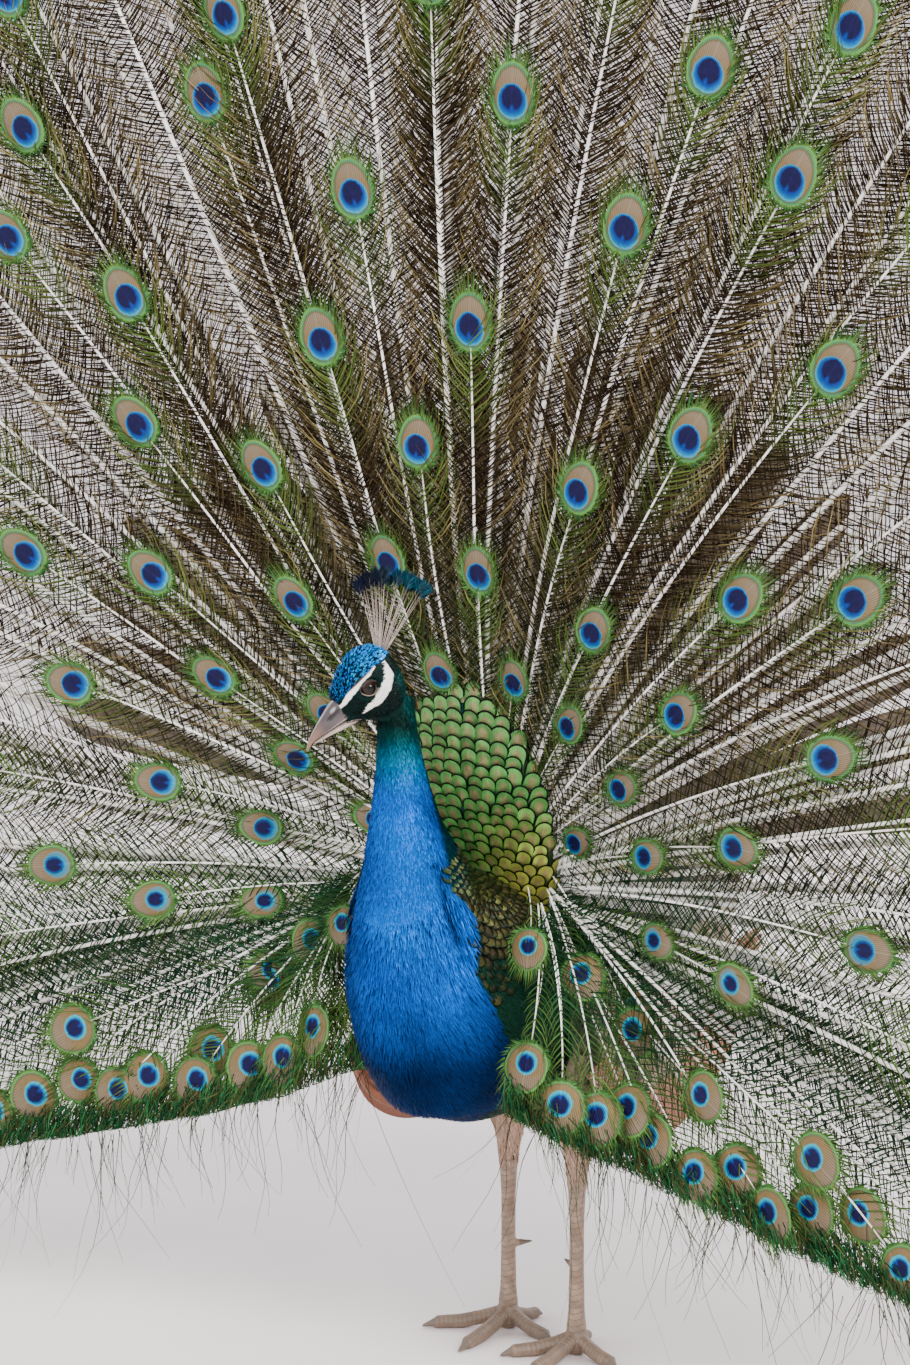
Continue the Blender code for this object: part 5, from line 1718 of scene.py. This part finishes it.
def make_tail():
    """Twenty stiff vanes behind the train, with pale shafts."""
    vane = vane_material("tail_vane", 0.25, 160.0, 0.0004, roughness=0.6)
    quill = plumage_material("quill_pale", 80.0, 900.0, 0.25, roughness=0.45)
    rand = np.random.default_rng(91)
    n = TAIL_FEATHERS
    phi = np.linspace(-TAIL_HALF_ANGLE, TAIL_HALF_ANGLE, n + 1)
    phi = ((phi[1:] + phi[:-1]) / 2 + rand.normal(0, 0.006, n))[:, None, None]
    reach = (TAIL_REACH * rand.uniform(0.975, 0.995, n))[:, None, None]
    t = np.concatenate((np.linspace(0, 0.86, 20), (0.90, 0.94, 0.97, 0.99, 1.0)))
    across = np.linspace(-1, 1, 11)
    rho = 0.05 + (reach - 0.05) * t[:, None]
    half = np.interp(t, (0, 0.35, 0.75, 0.9, 0.96, 1.0), (0.005, 0.014, 0.022, 0.021, 0.014, 0.003))
    x = across * half[:, None]
    tilt = 0.0011 * across * np.interp(t, (0, 1), (0.4, 1.6))[:, None]
    order = (0.0012 * np.abs(np.arange(n) - n / 2 + 0.5) / 10)[:, None, None]
    y = TAIL_ROOT_Y - TAIL_LEAN * rho + tilt + order - 0.0022 * across ** 2 * t[:, None]
    points = stacked(rho * np.sin(phi) + x * np.cos(phi), y,
                     TAIL_ROOT_Z + rho * np.cos(phi) - x * np.sin(phi))
    bars = 0.5 + 0.5 * np.sin(rho * 260 + 2.5 * np.abs(across) + phi * 9)
    tint = painted((0.275, 0.222, 0.176), ((0.175, 0.136, 0.105), bars * 0.8),
                   ((0.34, 0.28, 0.235), step(0.93, 1.0, t)[:, None]))
    coat = Coat()
    vane_row(coat, points, tint, stacked(across, rho / 0.05, 0.0), t,
             points[:, :, 5] + np.array((0.0, 0.0012, 0.0)), (0.0016, 0.0004),
             mix((0.42, 0.36, 0.28), (0.16, 0.12, 0.09), t)[:, None])
    settle(coat.make("tail_vanes", [vane, quill]), "plumage_brown",
           "tail_right_outer", "tail_right_inner", "tail_left_inner", "tail_left_outer")


def make_wings():
    """Barred coverts over the folded wings."""
    vane = vane_material("covert_vane", 1.3, 60.0, 0.0003, roughness=0.55)
    for side, sign in SIDES:
        surface = wing_surface(sign)
        rand = np.random.default_rng(95 + sign)
        vs, as_ = [], []
        rows, across = 25, 27
        for i in range(rows):
            v = 4.85 - 4.6 * i / (rows - 1)
            for j in range(across):
                a = math.pi * (-0.22 + 1.42 * (j + 0.5 * (i % 2)) / (across - 1))
                vs.append(v + rand.normal(0, 0.03))
                as_.append(a + rand.normal(0, 0.02))
        v, a = np.array(vs), np.array(as_)
        here, normal, lie = lay(surface, v, a, towards_start=False)
        lie = unit(lie + np.array((0.0, 0.0, -0.20)))
        n = len(v)
        size = np.interp(v, (0, 2, 5), (0.6, 1.0, 1.0)) * rand.uniform(0.9, 1.1, n)
        bars = 0.5 + 0.5 * np.sin(here[:, 1] * 520 + 60 * here[:, 2]) + rand.normal(0, 0.22, n)
        tint = mix((0.30, 0.225, 0.150), (0.045, 0.034, 0.024), step(0.35, 0.75, bars))
        upper = step(0.9, 0.4, np.abs(a))
        tint = mix(tint, (0.03, 0.075, 0.045), 0.6 * upper) * rand.uniform(0.8, 1.2, (n, 1))
        coat = Coat()
        scales(coat, (here, normal, lie), 0.022 * size, 0.0068 * size, 0.0040, np.full(n, 0.0026), 0.22,
               tint, map_of(v, a, (0, 5)), back=0.45)
        settle(coat.make("coverts_" + side, [vane]), "plumage_brown")


def make_primaries():
    """Rufous flight feathers that show below the wing."""
    vane = vane_material("primary_vane", 0.4, 220.0, 0.0003, roughness=0.5)
    quill = plumage_material("quill_brown", 80.0, 900.0, 0.25, roughness=0.45)
    n = 9
    t = np.linspace(0, 1, 34)
    across = np.linspace(-1, 1, 9)
    share = ((np.arange(n) + 0.5) / n)[:, None]
    v = t * np.interp(share, (0, 1), (1.0, 0.80)) * (len(PRIMARY_RIBS) - 1)
    y, high, low, out = along_rows(PRIMARY_RIBS, v)
    tall = high - low
    taper = np.interp(t, (0, 0.12, 0.8, 0.95, 1.0), (0.35, 1.0, 0.95, 0.6, 0.08))
    down = across * (np.clip(tall / n * 0.95, 0.001, 0.02) * taper)[..., None]
    bow = 0.006 * np.sin(math.pi * np.clip(share[..., None] - down / tall[..., None], 0, 1))
    x = out[..., None] + bow + 0.0014 * across + 0.0010
    z = (high - tall * share + 0.005)[..., None] - down
    tint = mix((0.36, 0.115, 0.045), (0.20, 0.060, 0.028), 0.5 + 0.5 * np.sin(t * 5)[:, None] * across)
    for side, sign in SIDES:
        points = stacked(sign * x, y[..., None], z)
        coat = Coat()
        vane_row(coat, points, tint, stacked(across, (t * 8)[:, None], 0.0), t,
                 points[:, :, 4] + np.array((sign * 0.0007, 0.0, 0.0)), (0.0011, 0.0003),
                 np.array((0.22, 0.13, 0.08)))
        settle(coat.make("flight_" + side, [vane, quill]), "plumage_rufous", "primaries_" + side)


# -------------------------------------------------------------------------- legs
def leg_marks(points, sign, leg_y, toes):
    """Relief and tint of scutes, pads and claws at points of one leg."""
    dx, dy, z = points[:, 0] - sign * LEG_X, points[:, 1] - leg_y, points[:, 2]
    away = np.hypot(dx, dy)
    round_it = np.arctan2(dx, -dy)
    toe = (z < 0.030) & (away > 0.0105)
    plates = np.where(toe, away / 0.0041, (z + 0.0012 * np.cos(round_it * 2)) / 0.0054)
    split = np.abs(plates % 1.0 - 0.5) * 2
    groove = step(0.72, 1.0, split)
    above = np.where(toe, step(0.0035, 0.007, z), 0.35 + 0.65 * step(1.9, 1.1, np.abs(round_it)))
    net = np.abs(ripple(points, 0.0012))
    relief = (0.00034 * (1 - groove) * above - 0.00022 * step(0.25, 0.0, net) * (1 - 0.7 * above)
              + 0.0001 * ripple(points, 0.0023))
    hind = math.degrees(math.atan2(-0.25, -1.0))
    horn = step(0.0092, 0.0105, away) * (z > 0.05) * (z < 0.11)
    for degrees, length in toes + ((hind, 0.044),):
        way = (sign * math.sin(math.radians(degrees)), -math.cos(math.radians(degrees)))
        s, off = dx * way[0] + dy * way[1], np.abs(dx * way[1] - dy * way[0])
        horn = np.maximum(horn, step(0.835, 0.855, s / length) * (off < 0.007))
    tint = painted(
        (0.21, 0.125, 0.078),
        ((0.42, 0.285, 0.200), 0.5 + 0.5 * ripple(points, 0.006)),
        ((0.185, 0.125, 0.085), step(0.034, 0.012, z) * 0.6),
        ((0.50, 0.37, 0.28), step(0.10, 0.19, z) * 0.6),
        ((0.07, 0.045, 0.03), 0.75 * groove * above),
        ((0.16, 0.12, 0.09), 0.4 * step(0.25, 0.0, net) * (1 - above)),
        ((0.150, 0.110, 0.080), horn))
    return relief * (1 - horn), tint


def make_legs(sizes):
    scute = horn_material("leg_scutes", (0.13, 0.095, 0.07), 130.0, 1500.0, 0.5, 0.0002)
    for side, (sign, leg_y, toes) in LEGS.items():
        nodes = ("shank_" + side, "foot_" + side, "spur_" + side)
        mesh = joined("leg", nodes, 0.0003, sizes.leg_grain, 4)
        points = read(mesh, "co")
        relief, tints = leg_marks(points - SHIFT, sign, leg_y, toes)
        points = points + read(mesh, "normal") * relief[:, None]
        points[:, 2] = np.maximum(points[:, 2], 0.0)
        mesh.vertices.foreach_set("co", points.astype(np.float32).ravel())
        mesh.update()
        dress(mesh, tints, scute)
        settle(link("leg_" + side, mesh), "leg_skin", *nodes)


# ------------------------------------------------------------------------- stage
def make_stage():
    """A pale floor that sweeps up behind, soft lamps and the camera."""
    material, tree, shader = new_material("studio_floor", roughness=0.85)
    noise = tree.noise(3.0, tree.here(), 6.0)["Fac"]
    tree.put(shader.inputs["Base Color"],
             tree.blend(tree.ramp(noise, 0.3, 0.7), (0.86, 0.76, 0.75), (0.92, 0.83, 0.82)))
    turn = -math.radians(31)
    profile = [(-24.0, 0.0), (16.0, 0.0)]
    for a in np.linspace(0.1, math.pi / 2, 16):
        profile.append((16.0 + 5.0 * math.sin(a), 5.0 * (1 - math.cos(a))))
    profile.append((21.0, 20.0))
    bm = bmesh.new()
    rows = []
    for depth, high in profile:
        row = []
        for across in (-24.0, 24.0):
            x = across * math.cos(turn) + depth * math.sin(turn)
            y = -across * math.sin(turn) + depth * math.cos(turn)
            row.append(bm.verts.new((x, y, high - 0.0004)))
        rows.append(row)
    for low, high in zip(rows, rows[1:]):
        bm.faces.new((low[0], low[1], high[1], high[0])).smooth = True
    mesh = bpy.data.meshes.new("studio_sweep")
    bm.to_mesh(mesh)
    bm.free()
    mesh.materials.append(material)
    link("studio_sweep", mesh)

    world = bpy.data.worlds.new("studio")
    bpy.context.scene.world = world
    world.use_nodes = True
    background = world.node_tree.nodes["Background"].inputs
    background["Color"].default_value = (0.90, 0.95, 1.0, 1)
    background["Strength"].default_value = 1.5
    for name, at, size, power, colour in (
            ("key", (3.2, -2.6, 3.4), 1.5, 380, (1.0, 0.97, 0.93)),
            ("fill", (-2.2, -3.0, 2.2), 2.6, 60, (0.95, 0.98, 1.0)),
            ("back", (0.6, 2.8, 3.0), 2.2, 90, (1.0, 1.0, 1.0))):
        lamp = bpy.data.lights.new(name, "AREA")
        lamp.size, lamp.energy, lamp.color = size, power, colour
        obj = bpy.data.objects.new(name, lamp)
        obj.location = at
        obj.rotation_euler = (Vector((0, 0, 0.6)) - Vector(at)).to_track_quat("-Z", "Y").to_euler()
        bpy.context.scene.collection.objects.link(obj)
    lens = bpy.data.cameras.new("camera")
    lens.lens, lens.sensor_width, lens.clip_end = 93.36, 36.0, 40.0
    camera = bpy.data.objects.new("camera", lens)
    camera.location = Vector((1.45443, -2.62386, 1.0)) + Vector(SHIFT)
    camera.rotation_euler = (math.radians(90 - 8.0139), 0.0, math.radians(30.627))
    bpy.context.scene.collection.objects.link(camera)
    bpy.context.scene.camera = camera


# ----------------------------------------------------------------------- add-on
def length_property(name, description, default):
    return bpy.props.FloatProperty(name=name, description=description, default=default, unit="LENGTH")


class PeafowlSizes(bpy.types.PropertyGroup):
    skin_grain: length_property("Skin grain", "Voxel size that the one skin is joined at", 0.0034)
    leg_grain: length_property("Leg grain", "Voxel size of the legs' skin", 0.0010)
    tuft_scale: bpy.props.FloatProperty(
        name="Tuft scale", description="Size of the body's tufts", default=1.0, subtype="FACTOR")
    scale_width: length_property(
        "Scale width", "Width of the raised back's scales at their largest", 0.0165)
    eye_length: length_property(
        "Train eye length", "Length of the bronze oval of a full train eye", 0.046)
    barb_length: length_property("Barb length", "Length of the train's loose barbs", 0.068)
    barb_gap: length_property("Barb gap", "Distance between neighbouring barbs on a shaft", 0.0031)
    barb_width: length_property("Barb width", "Width of a loose barb at its root", 0.0012)


class PEAFOWL_OT_skin(bpy.types.Operator):
    """Join the nodes of flesh into one skin"""
    bl_idname = "peafowl.skin"
    bl_label = "Skin"

    def execute(self, context):
        make_skin(context.scene.peafowl_sizes)
        return {"FINISHED"}


class PEAFOWL_OT_coat(bpy.types.Operator):
    """Lay the tufts of neck, breast, belly, rump and thighs"""
    bl_idname = "peafowl.coat"
    bl_label = "Body plumage"

    def execute(self, context):
        make_body_coat(context.scene.peafowl_sizes)
        make_thighs()
        return {"FINISHED"}


class PEAFOWL_OT_head(bpy.types.Operator):
    """Make the head's plumage, eyes, bill and crest"""
    bl_idname = "peafowl.head"
    bl_label = "Head"

    def execute(self, context):
        make_head_coat()
        make_eyes()
        make_bill()
        make_crest()
        return {"FINISHED"}


class PEAFOWL_OT_shield(bpy.types.Operator):
    """Lay the overlapping scales of the raised back"""
    bl_idname = "peafowl.shield"
    bl_label = "Back scales"

    def execute(self, context):
        make_shield(context.scene.peafowl_sizes)
        make_mantle()
        return {"FINISHED"}


class PEAFOWL_OT_train(bpy.types.Operator):
    """Make the raised train: shafts, loose barbs and eyes"""
    bl_idname = "peafowl.train"
    bl_label = "Train"

    def execute(self, context):
        make_train(context.scene.peafowl_sizes)
        return {"FINISHED"}


class PEAFOWL_OT_wings(bpy.types.Operator):
    """Make the tail's vanes, the wing coverts and the flight feathers"""
    bl_idname = "peafowl.wings"
    bl_label = "Tail and wings"

    def execute(self, context):
        make_tail()
        make_wings()
        make_primaries()
        return {"FINISHED"}


class PEAFOWL_OT_legs(bpy.types.Operator):
    """Make the scaled legs, feet and claws"""
    bl_idname = "peafowl.legs"
    bl_label = "Legs"

    def execute(self, context):
        make_legs(context.scene.peafowl_sizes)
        return {"FINISHED"}


class PEAFOWL_OT_stage(bpy.types.Operator):
    """Set the floor, the lamps and the camera"""
    bl_idname = "peafowl.stage"
    bl_label = "Stage"

    def execute(self, context):
        make_stage()
        return {"FINISHED"}


OPERATORS = (PEAFOWL_OT_stage, PEAFOWL_OT_skin, PEAFOWL_OT_coat, PEAFOWL_OT_head, PEAFOWL_OT_shield,
             PEAFOWL_OT_train, PEAFOWL_OT_wings, PEAFOWL_OT_legs)


class PEAFOWL_PT_panel(bpy.types.Panel):
    """Sizes and pieces of the peafowl"""
    bl_label = "Peafowl"
    bl_idname = "PEAFOWL_PT_panel"
    bl_space_type = "VIEW_3D"
    bl_region_type = "UI"
    bl_category = "Peafowl"

    def draw(self, context):
        sizes = context.scene.peafowl_sizes
        for name in PeafowlSizes.__annotations__:
            self.layout.prop(sizes, name)
        for operator in OPERATORS:
            self.layout.operator(operator.bl_idname)


def register():
    for each in (PeafowlSizes, *OPERATORS, PEAFOWL_PT_panel):
        bpy.utils.register_class(each)
    bpy.types.Scene.peafowl_sizes = bpy.props.PointerProperty(type=PeafowlSizes)


def unregister():
    del bpy.types.Scene.peafowl_sizes
    for each in (PEAFOWL_PT_panel, *reversed(OPERATORS), PeafowlSizes):
        bpy.utils.unregister_class(each)


def main():
    register()
    for operator in OPERATORS:
        getattr(bpy.ops.peafowl, operator.bl_idname.split(".")[1])()


if __name__ == "__main__":
    main()
